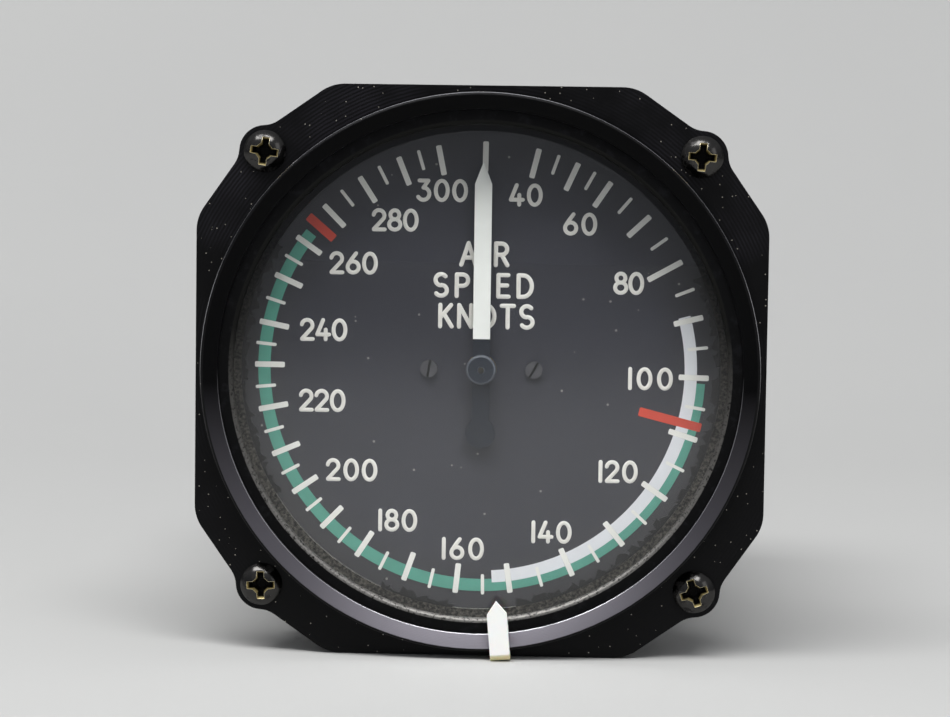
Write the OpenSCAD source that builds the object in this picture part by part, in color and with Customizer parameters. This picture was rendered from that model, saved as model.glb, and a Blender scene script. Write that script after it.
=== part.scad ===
// Airspeed indicator for a panel hole of 3 1/8 inches, with its whole movement.
// Millimetres. The dial faces -Y, +Z is up, and the origin is on the dial axis
// in the plane of the flange's rear face, which seats on the panel.

/* [Flange and panel screws] */
// Distance between screw centres along a side
screw_pitch = 62.87; // [58:0.01:68]
// Radius of a panel screw's thread
screw_r = 1.75; // [1.5:0.05:2]
// Radius of a panel screw's head
head_r = 3.05; // [2.5:0.05:3.4]
// Height of a panel screw's head
head_h = 2; // [1.6:0.05:2.6]
// Height of the upright edge of that head
head_edge = 0.5; // [0.4:0.05:1]
// Length of thread that stands out behind the flange
screw_reach = 8; // [5:0.5:14]
// How much the plain shank in the flange is thinner than the thread
shank_step = 0.25; // [0.2:0.05:0.4]
// Length of each arm of the cross recess, from the screw's axis
recess_len = 2.25; // [1.6:0.05:2.3]
// Width of those arms
recess_w = 1.2; // [0.5:0.05:1.3]
// Turn of each screw's recess, clockwise from the top left screw
recess_turns = [8.5, 4.5, -18, -1.5]; // [-45:0.5:45]
// Thickness of the flange
flange_t = 4.8; // [3.5:0.1:7]
// How far the flange's straight sides lie outside the bezel ring
flange_rim = 0.975; // [0.6:0.025:3]
// Length of each straight side
side_len = 43.6; // [36:0.1:50]
// How far the corner edges meet outside the screw centres
corner_rim = 2.6; // [2.2:0.05:3.4]
// Radius of the round ear at each screw
ear_r = 3.75; // [3.5:0.05:4.8]
// Radius of the blend between ear and edge
ear_blend_r = 4; // [1:0.1:6]
// Radius of the rounded ends of the straight sides
side_round_r = 6; // [2:0.5:10]

/* [Bezel ring and glass] */
// Gap between the bezel ring and the screw heads
ring_gap = 1.1; // [0.8:0.05:2]
// Height of the bezel ring above the flange
ring_h = 3.2; // [2.6:0.05:4.5]
// Width of the bezel ring
ring_w = 2.45; // [2:0.05:3.2]
// Width of the chamfer on the ring's outer edge
ring_edge = 0.35; // [0.1:0.05:0.6]
// Depth of the ring's inward cone
cone_h = 1.3; // [0.8:0.05:2]
// Depth of the retaining ring behind the cone
groove_drop = 0.55; // [0.4:0.05:1.2]
// Thickness of the retaining ring
retainer_t = 0.8; // [0.6:0.05:1.2]
// Visible width of the retaining ring
retainer_w = 2.2; // [1.6:0.05:3]
// Depth of the retaining ring in its groove
retainer_seat = 0.45; // [0.3:0.05:0.8]
// Gap between the ends of the retaining ring
retainer_split = 2.5; // [2:0.5:8]
// Angle of that gap
split_deg = 175; // [0:1:359]
// Thickness of the glass
glass_t = 3; // [2:0.1:4]
// Thickness of the gasket behind the glass
gasket_t = 0.8; // [0.5:0.05:1.5]
// Width of the gasket
gasket_w = 2.9; // [2.4:0.05:3.4]
// Width of the shoulder that the gasket lies on
lip_w = 2.6; // [2:0.05:3.2]
// Thickness of that shoulder
lip_t = 1.6; // [1:0.1:2.5]

/* [Case and rear cover] */
// Step from the bezel ring's radius to the barrel's
barrel_step = 0.8; // [0.5:0.05:2]
// Wall of the barrel
case_wall = 2.3; // [2:0.05:3]
// Length of the barrel behind the flange
case_len = 58; // [54:0.5:72]
// Thickness of the rear cover
cover_t = 3; // [2:0.1:5]
// Thickness of the seal under the rear cover
seal_t = 0.5; // [0.3:0.05:1]
// Length of the rear cover's spigot inside the barrel
spigot_len = 6.5; // [5:0.1:9]
// Wall of that spigot
spigot_w = 2.5; // [2:0.1:3.5]
// Radius of the cover screws
cover_screw_r = 1; // [0.8:0.05:1.3]
// Radius of their countersunk heads
cover_head_r = 2; // [1.6:0.05:2.3]
// Radius of the pitot and static ports
port_r = 4.35; // [3.8:0.05:5]
// Depth of the ports
port_depth = 10; // [8:0.5:12]
// Wall of the port bosses
port_wall = 3.4; // [2.5:0.1:4.5]
// Height of the port bosses behind the cover
port_stand = 5; // [3:0.5:8]
// Floor between a port and the inside
port_floor = 1.5; // [1:0.1:2.5]
// Distance of the static port from the axis
static_offset = 21.5; // [19:0.1:23]
// Radius of the passage from a port to the inside
passage_r = 1.2; // [0.8:0.05:1.6]

/* [Dial] */
// Depth of the dial face behind the flange's rear face
dial_y = 2; // [1.6:0.05:3]
// Thickness of the dial plate
dial_t = 0.8; // [0.5:0.05:1.2]
// Gap between dial and barrel
dial_gap = 0.9; // [0.4:0.05:1.5]
// Thickness of the print
print_t = 0.05; // [0.03:0.01:0.08]
// Gap between the scale's outer ends and the dial's edge
scale_margin = 3; // [2:0.1:4]
// Length of the marks at every 10 knots
major_len = 4.4; // [3.6:0.1:5]
// Width of those marks
major_w = 0.82; // [0.6:0.02:1]
// Length of the marks at every 5 knots
minor_len = 3; // [2.4:0.1:3.6]
// Width of those marks
minor_w = 0.48; // [0.3:0.02:0.6]
// Radius of the corners of all marks
mark_round_r = 0.2; // [0.05:0.01:0.24]
// Extra length of the mark at 80 knots
long_mark = 1.3; // [0.5:0.1:2]
// Width of the coloured arcs
arc_w = 1.8; // [1.4:0.05:2.2]
// Gap between the scale's outer ends and the green arc
green_inset = 0.5; // [0.3:0.05:0.8]
// Gap between the scale's outer ends and the white arc
white_inset = 1.75; // [1.4:0.05:2.2]
// First and last angle of the green arc
green_span = [92.5, 307.5];
// First and last angle of the white arc
white_span = [74.3, 176];
// Width of the red lines
red_w = 1.3; // [0.9:0.05:1.6]
// Length of the long red line
red_long = 9.4; // [7:0.1:11]
// Length of the short red line
red_short = 5; // [4:0.1:6]
// How far the short red line stands outside the scale's outer ends
red_over = 0.5; // [0.2:0.1:0.8]
// Angle of the long red line
red_long_deg = 103.7; // [95:0.1:110]
// Angle of the short red line
red_short_deg = 310.3; // [308:0.1:312]
// Distance of the dial screws from the axis
dial_screw_x = 7.7; // [6.5:0.1:9]
// Radius of the dial screws' heads
dial_head_r = 1.25; // [1:0.05:1.6]
// Height of those heads
dial_head_h = 0.6; // [0.4:0.05:0.8]
// Width of the slots in those heads
dial_slot_w = 0.38; // [0.25:0.01:0.5]
// Radius of the dial screws' shanks
dial_screw_r = 0.7; // [0.5:0.05:0.8]
// Radius of the dial spacers
spacer_r = 1.6; // [1.3:0.05:2]
// Length of the dial spacers
spacer_len = 3.2; // [2.6:0.1:4]
// Radius of the small stud on the dial
stud_r = 0.8; // [0.5:0.05:1]
// Height of that stud
stud_h = 0.5; // [0.3:0.05:0.6]
// Distance of that stud inside the scale's outer ends
stud_inset = 8.4; // [6:0.1:11]
// Angle of that stud
stud_deg = 356.3; // [350:0.1:358]
// How far the printed scale is set round from the dial screws, clockwise
print_turn = 0.4; // [-2:0.1:2]

/* [Pointer] */
// Gap between the pointer's tip and the scale's outer ends
tip_gap = 2.9; // [2:0.1:5]
// Length of the pointer's tapered tip
tip_len = 3.3; // [2:0.1:5]
// Width of the pointer
pointer_w = 2.5; // [1.8:0.05:3]
// Thickness of the pointer
pointer_t = 0.4; // [0.3:0.05:0.6]
// Gap between pointer and dial face
pointer_gap = 1.1; // [1:0.05:1.4]
// Distance of the white paint from the axis
paint_start = 4.5; // [3.5:0.1:7]
// Distance of the counterweight from the axis
tail_len = 9.3; // [7:0.1:11]
// Radius of the counterweight
weight_r = 2.2; // [1.6:0.05:2.8]
// Radius of the pointer hub
hub_r = 2.2; // [1.8:0.05:2.8]
// Chamfer on the pointer hub's edge
hub_edge = 0.2; // [0.1:0.05:0.4]
// Height of the pointer hub in front of the pointer
hub_h = 0.7; // [0.5:0.05:1]

/* [Movement] */
// Gap between the plates and the barrel
plate_gap = 5.2; // [4:0.1:7]
// Thickness of the two plates
plate_t = 1.5; // [1.2:0.05:2]
// Distance between the two plates
pillar_len = 8.5; // [8:0.1:10]
// Radius of pillars and posts
post_r = 2; // [1.7:0.05:2.5]
// Distance of the posts from the edge of the plates
post_edge = 2; // [1.5:0.1:3]
// Radius of the screws and studs in pillars and posts
post_screw_r = 0.9; // [0.7:0.05:1.1]
// Depth of those screws and studs
post_screw_len = 4; // [3:0.1:5]
// Gear module
gear_module = 0.25; // [0.22:0.005:0.28]
// Teeth of the pinion
pinion_teeth = 14; // [12:1:16]
// Turns of the pinion for one turn of a whole sector
gear_ratio = 9; // [8:1:10]
// Pressure angle of the teeth
pressure = 20; // [18:0.5:25]
// Play between teeth
gear_play = 0.05; // [0.02:0.01:0.1]
// Thickness of the sector gear
sector_t = 0.8; // [0.6:0.05:1.2]
// Distance of the sector gear behind the front plate
sector_drop = 2.1; // [1.6:0.1:3]
// Width of the sector's toothed rim and spokes
sector_rim = 1.8; // [1.2:0.1:2.4]
// Distance of the drive pin from the sector staff
fork_r = 5; // [4:0.1:6]
// Radius of the staffs
staff_r = 0.75; // [0.6:0.05:0.9]
// Radius of the pivots at the ends of staffs and shaft
pivot_r = 0.4; // [0.3:0.05:0.5]
// Running clearance of pivots
pivot_gap = 0.03; // [0.02:0.01:0.06]
// Radius of the bushes
bush_r = 1.6; // [1.3:0.05:2]
// Turns of the hairspring
spring_turns = 5; // [3:1:7]
// Distance between turns of the hairspring
spring_pitch = 0.7; // [0.5:0.05:0.8]
// Thickness of the hairspring's strip
spring_t = 0.12; // [0.08:0.01:0.2]
// Width of the hairspring's strip
spring_w = 0.6; // [0.4:0.05:0.8]
// Distance of the hairspring in front of the rear plate
spring_drop = 3.6; // [3.2:0.1:4]
// Radius of the hairspring collet
collet_r = 1.5; // [1.2:0.05:1.8]

/* [Rocking shaft and capsule] */
// Distance of the rocking shaft behind the rear plate
shaft_drop = 4.5; // [4:0.1:6]
// Radius of the rocking shaft
shaft_r = 0.9; // [0.75:0.05:1.2]
// Distance from the rocking shaft to the lift pin
lift_arm = 5; // [4.6:0.1:6]
// Radius of the lift pin
lift_pin_r = 0.8; // [0.6:0.05:0.9]
// Radius of the drive arm's rod
drive_pin_r = 0.5; // [0.4:0.02:0.6]
// Radius of the hubs on the rocking shaft
shaft_hub_r = 1.8; // [1.6:0.05:2.2]
// Length of those hubs
shaft_hub_len = 2.4; // [2:0.1:3]
// Thickness of the brackets
bracket_t = 1.6; // [1.2:0.1:2]
// Width of the brackets
bracket_w = 4.4; // [3.8:0.1:6]
// Length of a bracket's foot
foot_len = 5.5; // [4.8:0.1:7]
// Gap between the drive arm's hub and its bracket
arm_gap = 0.6; // [0.4:0.1:1.2]
// Gap between the lift lever's hub and its bracket
lever_gap = 2.5; // [1.5:0.1:3.5]
// Radius of the bracket screws
bracket_screw_r = 0.7; // [0.5:0.05:0.8]
// Thickness of the lift lever
lever_t = 0.8; // [0.6:0.05:1.2]
// Gap between capsule and posts
capsule_gap = 2; // [1:0.1:4]
// Height of the capsule at its centre
capsule_h = 7; // [5:0.1:8]
// Height of the capsule at its rim
capsule_rim_h = 1.2; // [0.8:0.1:2]
// Wall of the capsule
capsule_wall = 0.3; // [0.2:0.02:0.4]
// Number of rings pressed in each face of the capsule
capsule_rings = 5; // [3:1:7]
// Height of those rings
ring_wave = 0.6; // [0.3:0.05:0.8]
// Radius of the capsule's flat centre
capsule_flat_r = 5; // [4:0.1:7]
// Length of the hollow stem
stem_len = 12; // [8:0.5:16]
// Radius of the stem
stem_r = 3; // [2.5:0.1:4]
// Radius of the capsule's centre post
lift_post_r = 1.6; // [1.2:0.05:2]

/* [Speed bug] */
// Angle of the bug on the bezel ring
bug_deg = 175; // [0:0.5:359]
// Width of the bug
bug_w = 2.9; // [2:0.05:4]
// Thickness of the bug's face
bug_t = 1; // [0.7:0.05:1.5]
// How far the bug reaches inside the ring's bore
bug_reach = 5; // [4:0.1:6.5]
// Length of the bug's tapered tip
bug_tip = 1.9; // [1:0.1:2.5]
// Depth of the slope across its outer end
bug_slope = 0.85; // [0.3:0.05:0.95]
// Thickness of the legs that hold the ring
bug_leg = 1.1; // [0.8:0.05:1.1]
// Running clearance between bug and ring
bug_gap = 0.12; // [0.08:0.01:0.2]
// Height at which the bug's outer leg ends above the edge of the screw heads
head_pass = 0.7; // [0.2:0.05:0.8]

/* [Hidden] */

$fn = 96;

// Dial angles, clockwise from the top, of 0 and of every 10 knots from 40 up to 300.
zero_deg = 0;
tens_deg = [
    13.5, 24, 33.5, 46.5, 60.5, 75.5, 91, 107, 124, 140, 155, 171.5, 185.5, 199,
    212.5, 224, 235.5, 246.5, 258.5, 270, 281, 293.5, 304.5, 315, 326.5, 337.5, 348
];
fives_deg = [for (i = [0:len(tens_deg) - 2]) (tens_deg[i] + tens_deg[i + 1]) / 2];
long_index = 4;
red_index = 22;

corners = [[1, 1], [-1, 1], [-1, -1], [1, -1]];
close_gap = 0.02;
pilot_gap = 0.05;
screw_gap = 0.15;
cut = 1;

// Radii of the case, from the screws inward.
bolt_r = screw_pitch / 2 * sqrt(2);
shank_r = screw_r - shank_step;
ring_r = bolt_r - head_r - ring_gap;
flange_half = ring_r + flange_rim;
corner_half = (bolt_r + corner_rim) / sqrt(2);
bore_r = ring_r - ring_w;
barrel_r = ring_r - barrel_step;
case_in_r = barrel_r - case_wall;
glass_gap = 0.15;
glass_r = bore_r - glass_gap;
lip_r = bore_r - lip_w;
retainer_in_r = bore_r - retainer_w;
retainer_out_r = bore_r + retainer_seat;
dial_r = case_in_r - dial_gap;
scale_r = dial_r - scale_margin;
green_r = scale_r - green_inset;
white_r = scale_r - white_inset;
tip_r = scale_r - tip_gap;
stud_ring_r = scale_r - stud_inset;

// Depths, from the bezel ring to the rear cover.
ring_y = -flange_t - ring_h;
cone_y = ring_y + cone_h;
retainer_y = cone_y + groove_drop;
glass_y = retainer_y + retainer_t;
gasket_y = glass_y + glass_t;
lip_y = gasket_y + gasket_t;
pointer_y = dial_y - pointer_gap - pointer_t;
hub_y = pointer_y - hub_h;
staff_proud = 0.15;
spacer_y = dial_y + dial_t;
front_plate_y = spacer_y + spacer_len;
gear_y = front_plate_y + plate_t;
sector_y = gear_y + sector_drop;
rear_plate_y = gear_y + pillar_len;
post_y = rear_plate_y + plate_t;
cover_y = case_len + seal_t;
cover_back_y = cover_y + cover_t;
port_y = cover_back_y + port_stand;
boss_y = port_y - port_depth - port_floor;
cover_screw_y = cover_y - spigot_len / 2;
spigot_r = case_in_r - pilot_gap;
spigot_in_r = spigot_r - spigot_w;
cover_head_h = cover_head_r - cover_screw_r;
post_len = cover_y - post_y;
post_head_h = 1.2;
post_head_r = 2 * post_screw_r;

// Plates and posts.
plate_r = case_in_r - plate_gap;
post_ring_r = plate_r - post_edge - post_r;
post_places = [for (a = [90, 210, 330]) post_ring_r * [cos(a), sin(a)]];

// Gears: the sector swings about its staff, and its line to the pinion slopes by line_deg.
sector_teeth = pinion_teeth * gear_ratio;
gear_distance = gear_module * (pinion_teeth + sector_teeth) / 2;
line_deg = asin(lift_arm / gear_distance);
staff_x = -gear_distance * cos(line_deg);
staff_z = -lift_arm;
sector_swing = (tens_deg[len(tens_deg) - 1] - zero_deg) / gear_ratio;
spare_teeth = 2.5;
end_tooth = ceil(sector_swing / 2 * sector_teeth / 360 + spare_teeth);
dedendum = 1.25 * gear_module;
pinion_addendum = 0.9 * gear_module;
sector_addendum = 0.8 * gear_module;
pinion_phase = line_deg + 180 + gear_ratio * sector_swing / 2 + 180 / pinion_teeth;
pinion_len = sector_t + 2;
sector_pitch_r = gear_module * sector_teeth / 2;
sector_root_r = sector_pitch_r - dedendum;
sector_hub_r = 2.4;
sector_seat = 0.3;
sector_bore_r = staff_r + sector_seat;
sector_collar_r = sector_hub_r - 0.4;
sector_collar_h = 1;
spoke_deg = 9;
shoulder_gap = 0.3;
fork_gap = 0.25;
fork_wall = 0.7;

// Rocking shaft: the drive arm's swing follows from the fork's.
shaft_y = post_y + shaft_drop;
shaft_z = -lift_arm;
drive_x = staff_x - fork_r;
drive_reach = shaft_y - sector_y - sector_t / 2;
shaft_swing = 2 * atan(fork_r * tan(sector_swing / 2) / drive_reach);
drive_over = 1.2;
drive_slot_gap = 0.6;
shaft_end_gap = 0.1;
left_bracket_x = drive_x - shaft_hub_len / 2 - bracket_t - arm_gap;
right_bracket_x = shaft_hub_len / 2 + lever_gap;
foot_t = 1;
foot_hole_x = bracket_t + (foot_len - bracket_t) / 2;
bracket_head_r = 1.3;
bracket_head_h = 0.8;
bracket_hole_r = bracket_screw_r + pilot_gap;

// Capsule and its centre post.
capsule_r = post_ring_r - post_r - capsule_gap;
capsule_y = cover_y - stem_len - capsule_h;
capsule_mid_y = capsule_y + capsule_h / 2;
contact_gap = 0.1;
capsule_seam = 1.5;
stem_flange_t = 1;
stem_flange_r = capsule_flat_r - 0.5;
lift_y = shaft_y + lift_arm * sin(shaft_swing / 2) + lift_pin_r + contact_gap;
lift_tip_step = 0.7;
lift_tip_r = lift_post_r - lift_tip_step;
lift_tip_len = 2;

// Hairspring.
spring_y = rear_plate_y - spring_drop;
spring_seat = 0.1;
spring_in_r = collet_r + spring_seat;
collet_over = 0.3;
spring_out_r = spring_in_r + spring_turns * spring_pitch;
spring_stud_r = 0.6;

// Colours.
anodised = "#1d1d20";
dial_black = "#242427";
cream = "#d8d4cc";
white = "#eeeeea";
brass = "#c9a95b";
steel = "#b4b7ba";
bronze = "#b08a50";

// A flat outline in X and Z, from depth y rearward.
module slab(y, t) {
    translate([0, y + t, 0]) rotate([90, 0, 0]) linear_extrude(t) children();
}

// A profile of radius and depth, turned about the dial axis.
module turned() {
    rotate([-90, 0, 0]) rotate_extrude() children();
}

// A round bar along Y, from depth y rearward, at a place in X and Z.
module bar(y, l, r, at = [0, 0]) {
    translate([at[0], y, at[1]]) rotate([-90, 0, 0]) cylinder(h = l, r = r);
}

// Children turned clockwise on the dial.
module clocked(deg) {
    rotate([0, deg, 0]) children();
}

// A strip with rounded corners that points up, between two distances from the axis.
module strip(r0, r1, w) {
    e = min(mark_round_r, w / 2 - close_gap);
    translate([-w / 2, r0 + e]) square([w, r1 - r0 - 2 * e]);
    translate([e - w / 2, r0]) square([w - 2 * e, r1 - r0]);
    for (x = [e - w / 2, w / 2 - e])
        for (y = [r0 + e, r1 - e]) translate([x, y]) circle(r = e);
}

// A printed strip at a dial angle.
module mark(deg, r0, r1, w, t = print_t) {
    clocked(deg) slab(dial_y - t, t) strip(r0, r1, w);
}

// The part of a ring between two dial angles, over less than half a turn.
module ring_part(r0, r1, a0, a1, y, t) {
    reach = r1 / cos((a1 - a0) / 2) * 1.2;
    slab(y, t) intersection() {
        difference() {
            circle(r = r1);
            circle(r = r0);
        }
        polygon([[0, 0], reach * [sin(a0), cos(a0)], reach * [sin(a1), cos(a1)]]);
    }
}

// Every mark from 40 to 300 knots in order, and half the angle that its paint takes up at radius r.
function mark_deg(j) = j % 2 == 0 ? tens_deg[j / 2] : fives_deg[(j - 1) / 2];
function mark_half(j, r) = asin((j % 2 == 0 ? major_w : minor_w) / 2 / r);

// Arc of paint on the dial, which stops at each mark.
module dial_arc(r0, r1, span) {
    for (j = [0:2 * len(tens_deg) - 3]) {
        a0 = max(mark_deg(j) + mark_half(j, r0), span[0]);
        a1 = min(mark_deg(j + 1) - mark_half(j + 1, r0), span[1]);
        if (a1 > a0) ring_part(r0, r1, a0, a1, dial_y - print_t, print_t);
    }
}

// One corner of the flange: the rounded end of a side, the tip behind the screw, and the next side's end.
function flange_corner() =
    let (slope = atan2(flange_half - corner_half, corner_half - side_len / 2))
    let (centre = [flange_half - side_round_r, side_len / 2 - side_round_r * tan(slope / 2)])
    let (steps = 8)
    let (turns = [for (i = [0:steps]) slope * i / steps])
    let (bend = [for (a = turns) centre + side_round_r * [cos(a), sin(a)]])
    concat(bend, [[corner_half, corner_half]], [for (i = [steps:-1:0]) [bend[i][1], bend[i][0]]]);

module flange_outline() {
    polygon([
        for (q = [0:3])
            let (c = cos(90 * q), s = sin(90 * q))
            for (p = flange_corner()) [p[0] * c - p[1] * s, p[0] * s + p[1] * c]
    ]);
    for (q = [0:3]) rotate(90 * q) {
        translate([screw_pitch, screw_pitch] / 2) circle(r = ear_r);
        ear_blend();
        mirror([1, -1]) ear_blend();
    }
}

// The hollow blend between an ear and the edge that runs up to it.
module ear_blend() {
    ear = [screw_pitch, screw_pitch] / 2;
    corner = [corner_half, corner_half];
    along = [side_len / 2, flange_half] - corner;
    t = along / norm(along);
    n = [t[1], -t[0]];
    out = (corner - ear) * n + ear_blend_r;
    centre = ear + n * out + t * sqrt(pow(ear_r + ear_blend_r, 2) - out * out);
    difference() {
        polygon([ear, centre - n * ear_blend_r, centre]);
        translate(centre) circle(r = ear_blend_r);
    }
}

module case_shell() color(anodised) difference() {
    union() {
        difference() {
            slab(-flange_t, flange_t) flange_outline();
            bar(-flange_t - cut, flange_t + 2 * cut, ring_r - ring_edge);
        }
        turned() polygon([
            [bore_r, cone_y], [ring_r - ring_edge, ring_y], [ring_r, ring_y + ring_edge], [ring_r, 0],
            [barrel_r, 0], [barrel_r, case_len], [case_in_r, case_len], [case_in_r, lip_y + lip_t],
            [lip_r, lip_y + lip_t], [lip_r, lip_y], [bore_r, lip_y], [bore_r, glass_y + close_gap],
            [retainer_out_r + close_gap, glass_y + close_gap], [retainer_out_r + close_gap, retainer_y],
            [bore_r, retainer_y]
        ]);
    }
    for (c = corners)
        bar(-flange_t - cut, flange_t + 2 * cut, screw_r + screw_gap, c * screw_pitch / 2);
    cover_screw_shapes(pilot_gap, cut);
}

module glass() color("#dfe8ea", 0.3) turned() polygon([
    [0, glass_y], [glass_r, glass_y], [glass_r, gasket_y], [0, gasket_y]
]);

module glass_gasket() color("#3a332b") turned() polygon([
    [glass_r - gasket_w, gasket_y], [glass_r, gasket_y], [glass_r, lip_y], [glass_r - gasket_w, lip_y]
]);

module retaining_ring() color(anodised) difference() {
    turned() polygon([
        [retainer_in_r, retainer_y], [retainer_out_r, retainer_y],
        [retainer_out_r, glass_y], [retainer_in_r, glass_y]
    ]);
    clocked(split_deg) slab(retainer_y - cut, retainer_t + 2 * cut)
        translate([-retainer_split / 2, retainer_in_r - cut])
            square([retainer_split, retainer_w + retainer_seat + 2 * cut]);
}

module panel_screws() color("#2a2620") for (i = [0:3]) {
    at = [[-1, 1], [1, 1], [1, -1], [-1, -1]][i];
    translate([at[0], 0, at[1]] * screw_pitch / 2) panel_screw(recess_turns[i]);
}

module panel_screw(turn) {
    crown = head_h - head_edge;
    dome_r = (head_r * head_r + crown * crown) / (2 * crown);
    difference() {
        union() {
            bar(-flange_t - head_edge / 2, flange_t + head_edge, shank_r);
            bar(0, screw_reach, screw_r);
            intersection() {
                bar(-flange_t - head_h, head_h, head_r);
                translate([0, dome_r - flange_t - head_h, 0]) sphere(r = dome_r);
            }
        }
        for (a = [turn, turn + 90])
            clocked(a) slab(-flange_t - head_h - cut, head_h / 2 + cut)
                square([2 * recess_len, recess_w], center = true);
    }
}

module rear_cover() color(anodised) difference() {
    union() {
        turned() polygon([
            [0, cover_y], [spigot_in_r, cover_y], [spigot_in_r, cover_y - spigot_len],
            [spigot_r, cover_y - spigot_len], [spigot_r, cover_y], [barrel_r, cover_y],
            [barrel_r, cover_back_y], [0, cover_back_y]
        ]);
        for (x = [0, static_offset]) bar(boss_y, port_y - boss_y, port_r + port_wall, [x, 0]);
    }
    for (x = [0, static_offset]) {
        bar(port_y - port_depth, port_depth + cut, port_r, [x, 0]);
        bar(boss_y - cut, port_y - boss_y, passage_r, [x, 0]);
    }
    for (p = post_places) {
        bar(cover_y - cut, cover_t + 2 * cut, post_screw_r + pilot_gap, p);
        bar(cover_back_y - post_head_h, post_head_h + cut, post_head_r + pilot_gap, p);
    }
    cover_screw_shapes(pilot_gap, cut);
}

module cover_seal() color("#1a1a1a") turned() polygon([
    [case_in_r, case_len], [barrel_r, case_len], [barrel_r, cover_y], [case_in_r, cover_y]
]);

// Countersunk screws from the barrel's side into the cover's spigot, or the room for them.
module cover_screw_shapes(gap, over) {
    tip = spigot_in_r - over;
    for (a = [45:90:315]) clocked(a) translate([0, cover_screw_y, 0]) {
        translate([0, 0, tip]) cylinder(h = barrel_r - tip - cover_head_h / 2, r = cover_screw_r + gap);
        translate([0, 0, barrel_r - cover_head_h - pilot_gap])
            cylinder(h = cover_head_h, r1 = cover_screw_r + gap, r2 = cover_head_r + gap);
        if (over > 0)
            translate([0, 0, barrel_r - pilot_gap - close_gap]) cylinder(h = over, r = cover_head_r + gap);
    }
}

module cover_screws() color("#2a2620") cover_screw_shapes(0, 0);

module dial() color(dial_black) difference() {
    bar(dial_y, dial_t, dial_r);
    bar(dial_y - cut, dial_t + 2 * cut, hub_r);
    for (x = [-1, 1] * dial_screw_x) bar(dial_y - cut, dial_t + 2 * cut, dial_screw_r + pilot_gap, [x, 0]);
}

module tick_marks() {
    mark(zero_deg, scale_r - major_len, scale_r, major_w);
    for (i = [0:len(tens_deg) - 1])
        mark(tens_deg[i], scale_r - major_len - (i == long_index ? long_mark : 0), scale_r, major_w);
    for (i = [0:len(fives_deg) - 1])
        if (i != red_index) mark(fives_deg[i], scale_r - minor_len, scale_r, minor_w);
}

module red_lines(t = print_t) {
    mark(red_long_deg, scale_r - red_long, scale_r, red_w, t);
    mark(red_short_deg, scale_r + red_over - red_short, scale_r + red_over, red_w, t);
}

module scale_marks() color(cream) clocked(print_turn) difference() {
    tick_marks();
    red_lines(print_t + cut);
}

module green_arc() color("#4a8f78") clocked(print_turn) difference() {
    union() {
        dial_arc(white_r, green_r, [green_span[0], white_span[1]]);
        dial_arc(green_r - arc_w, green_r, [white_span[1], green_span[1]]);
    }
    red_lines(print_t + cut);
}

// The white arc stops at the long marks, and goes round the inner ends of the short ones.
module white_arc() color("#d5d7dd") clocked(print_turn) difference() {
    for (i = [0:len(tens_deg) - 2]) {
        a0 = max(tens_deg[i] + mark_half(0, white_r - arc_w), white_span[0]);
        a1 = min(tens_deg[i + 1] - mark_half(0, white_r - arc_w), white_span[1]);
        if (a1 > a0) ring_part(white_r - arc_w, white_r, a0, a1, dial_y - print_t, print_t);
    }
    for (deg = fives_deg)
        if (deg > white_span[0] && deg < white_span[1])
            mark(deg, scale_r - minor_len, scale_r, minor_w, print_t + cut);
    red_lines(print_t + cut);
}

module red_marks() color("#c8433a") clocked(print_turn) red_lines();

module dial_stud() color("#34383e") clocked(stud_deg + print_turn)
    bar(dial_y - stud_h, stud_h, stud_r, [0, stud_ring_r]);

module dial_screws() color("#1b1b1d") for (side = [-1, 1])
    translate([side * dial_screw_x, 0, 0]) dial_screw(20 + 10 * side);

module dial_screw(turn) difference() {
    union() {
        bar(dial_y - dial_head_h, dial_head_h, dial_head_r);
        bar(dial_y - cut / 2, gear_y - dial_y + cut / 2, dial_screw_r);
    }
    clocked(turn) slab(dial_y - dial_head_h - cut, dial_head_h / 2 + cut)
        square([dial_slot_w, 3 * dial_head_r], center = true);
}

module dial_spacers() color(brass) for (x = [-1, 1] * dial_screw_x) difference() {
    bar(spacer_y, spacer_len, spacer_r, [x, 0]);
    bar(spacer_y - cut, spacer_len + 2 * cut, dial_screw_r + pilot_gap, [x, 0]);
}

// A movement plate with its post holes and the two bush holes.
module plate(y) difference() {
    bar(y, plate_t, plate_r);
    for (p = post_places) bar(y - cut, plate_t + 2 * cut, post_screw_r + pilot_gap, p);
    for (p = [[0, 0], [staff_x, staff_z]]) bar(y - cut, plate_t + 2 * cut, bush_r + close_gap, p);
}

module front_plate() color(brass) difference() {
    plate(front_plate_y);
    for (x = [-1, 1] * dial_screw_x)
        bar(front_plate_y - cut, plate_t + 2 * cut, dial_screw_r + pilot_gap, [x, 0]);
}

module rear_plate() color(brass) difference() {
    plate(rear_plate_y);
    slab(rear_plate_y - cut, plate_t + 2 * cut) translate([drive_x, shaft_z]) drive_slot();
    for (p = bracket_screw_places()) bar(rear_plate_y - cut, plate_t + 2 * cut, bracket_hole_r, p);
}

// Room in the rear plate for the drive arm's swing.
module drive_slot() {
    half_w = drive_pin_r + drive_slot_gap;
    half_h = (shaft_y - rear_plate_y) * tan(shaft_swing / 2) + half_w;
    square(2 * [half_w, half_h], center = true);
}

module plate_pillars() color(brass) for (p = post_places) difference() {
    union() {
        bar(gear_y, pillar_len, post_r, p);
        bar(rear_plate_y - cut, plate_t + post_screw_len + cut, post_screw_r, p);
    }
    bar(gear_y - cut, post_screw_len + pilot_gap + cut, post_screw_r + pilot_gap, p);
}

module plate_screws() color(steel) for (p = post_places) difference() {
    union() {
        bar(front_plate_y - post_screw_r, post_screw_r, 2 * post_screw_r, p);
        bar(front_plate_y - cut / 2, plate_t + post_screw_len + cut / 2, post_screw_r, p);
    }
    slab(front_plate_y - post_screw_r - cut, post_screw_r / 2 + cut) translate(p)
        square([post_screw_r * 5, post_screw_r * 0.5], center = true);
}

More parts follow.
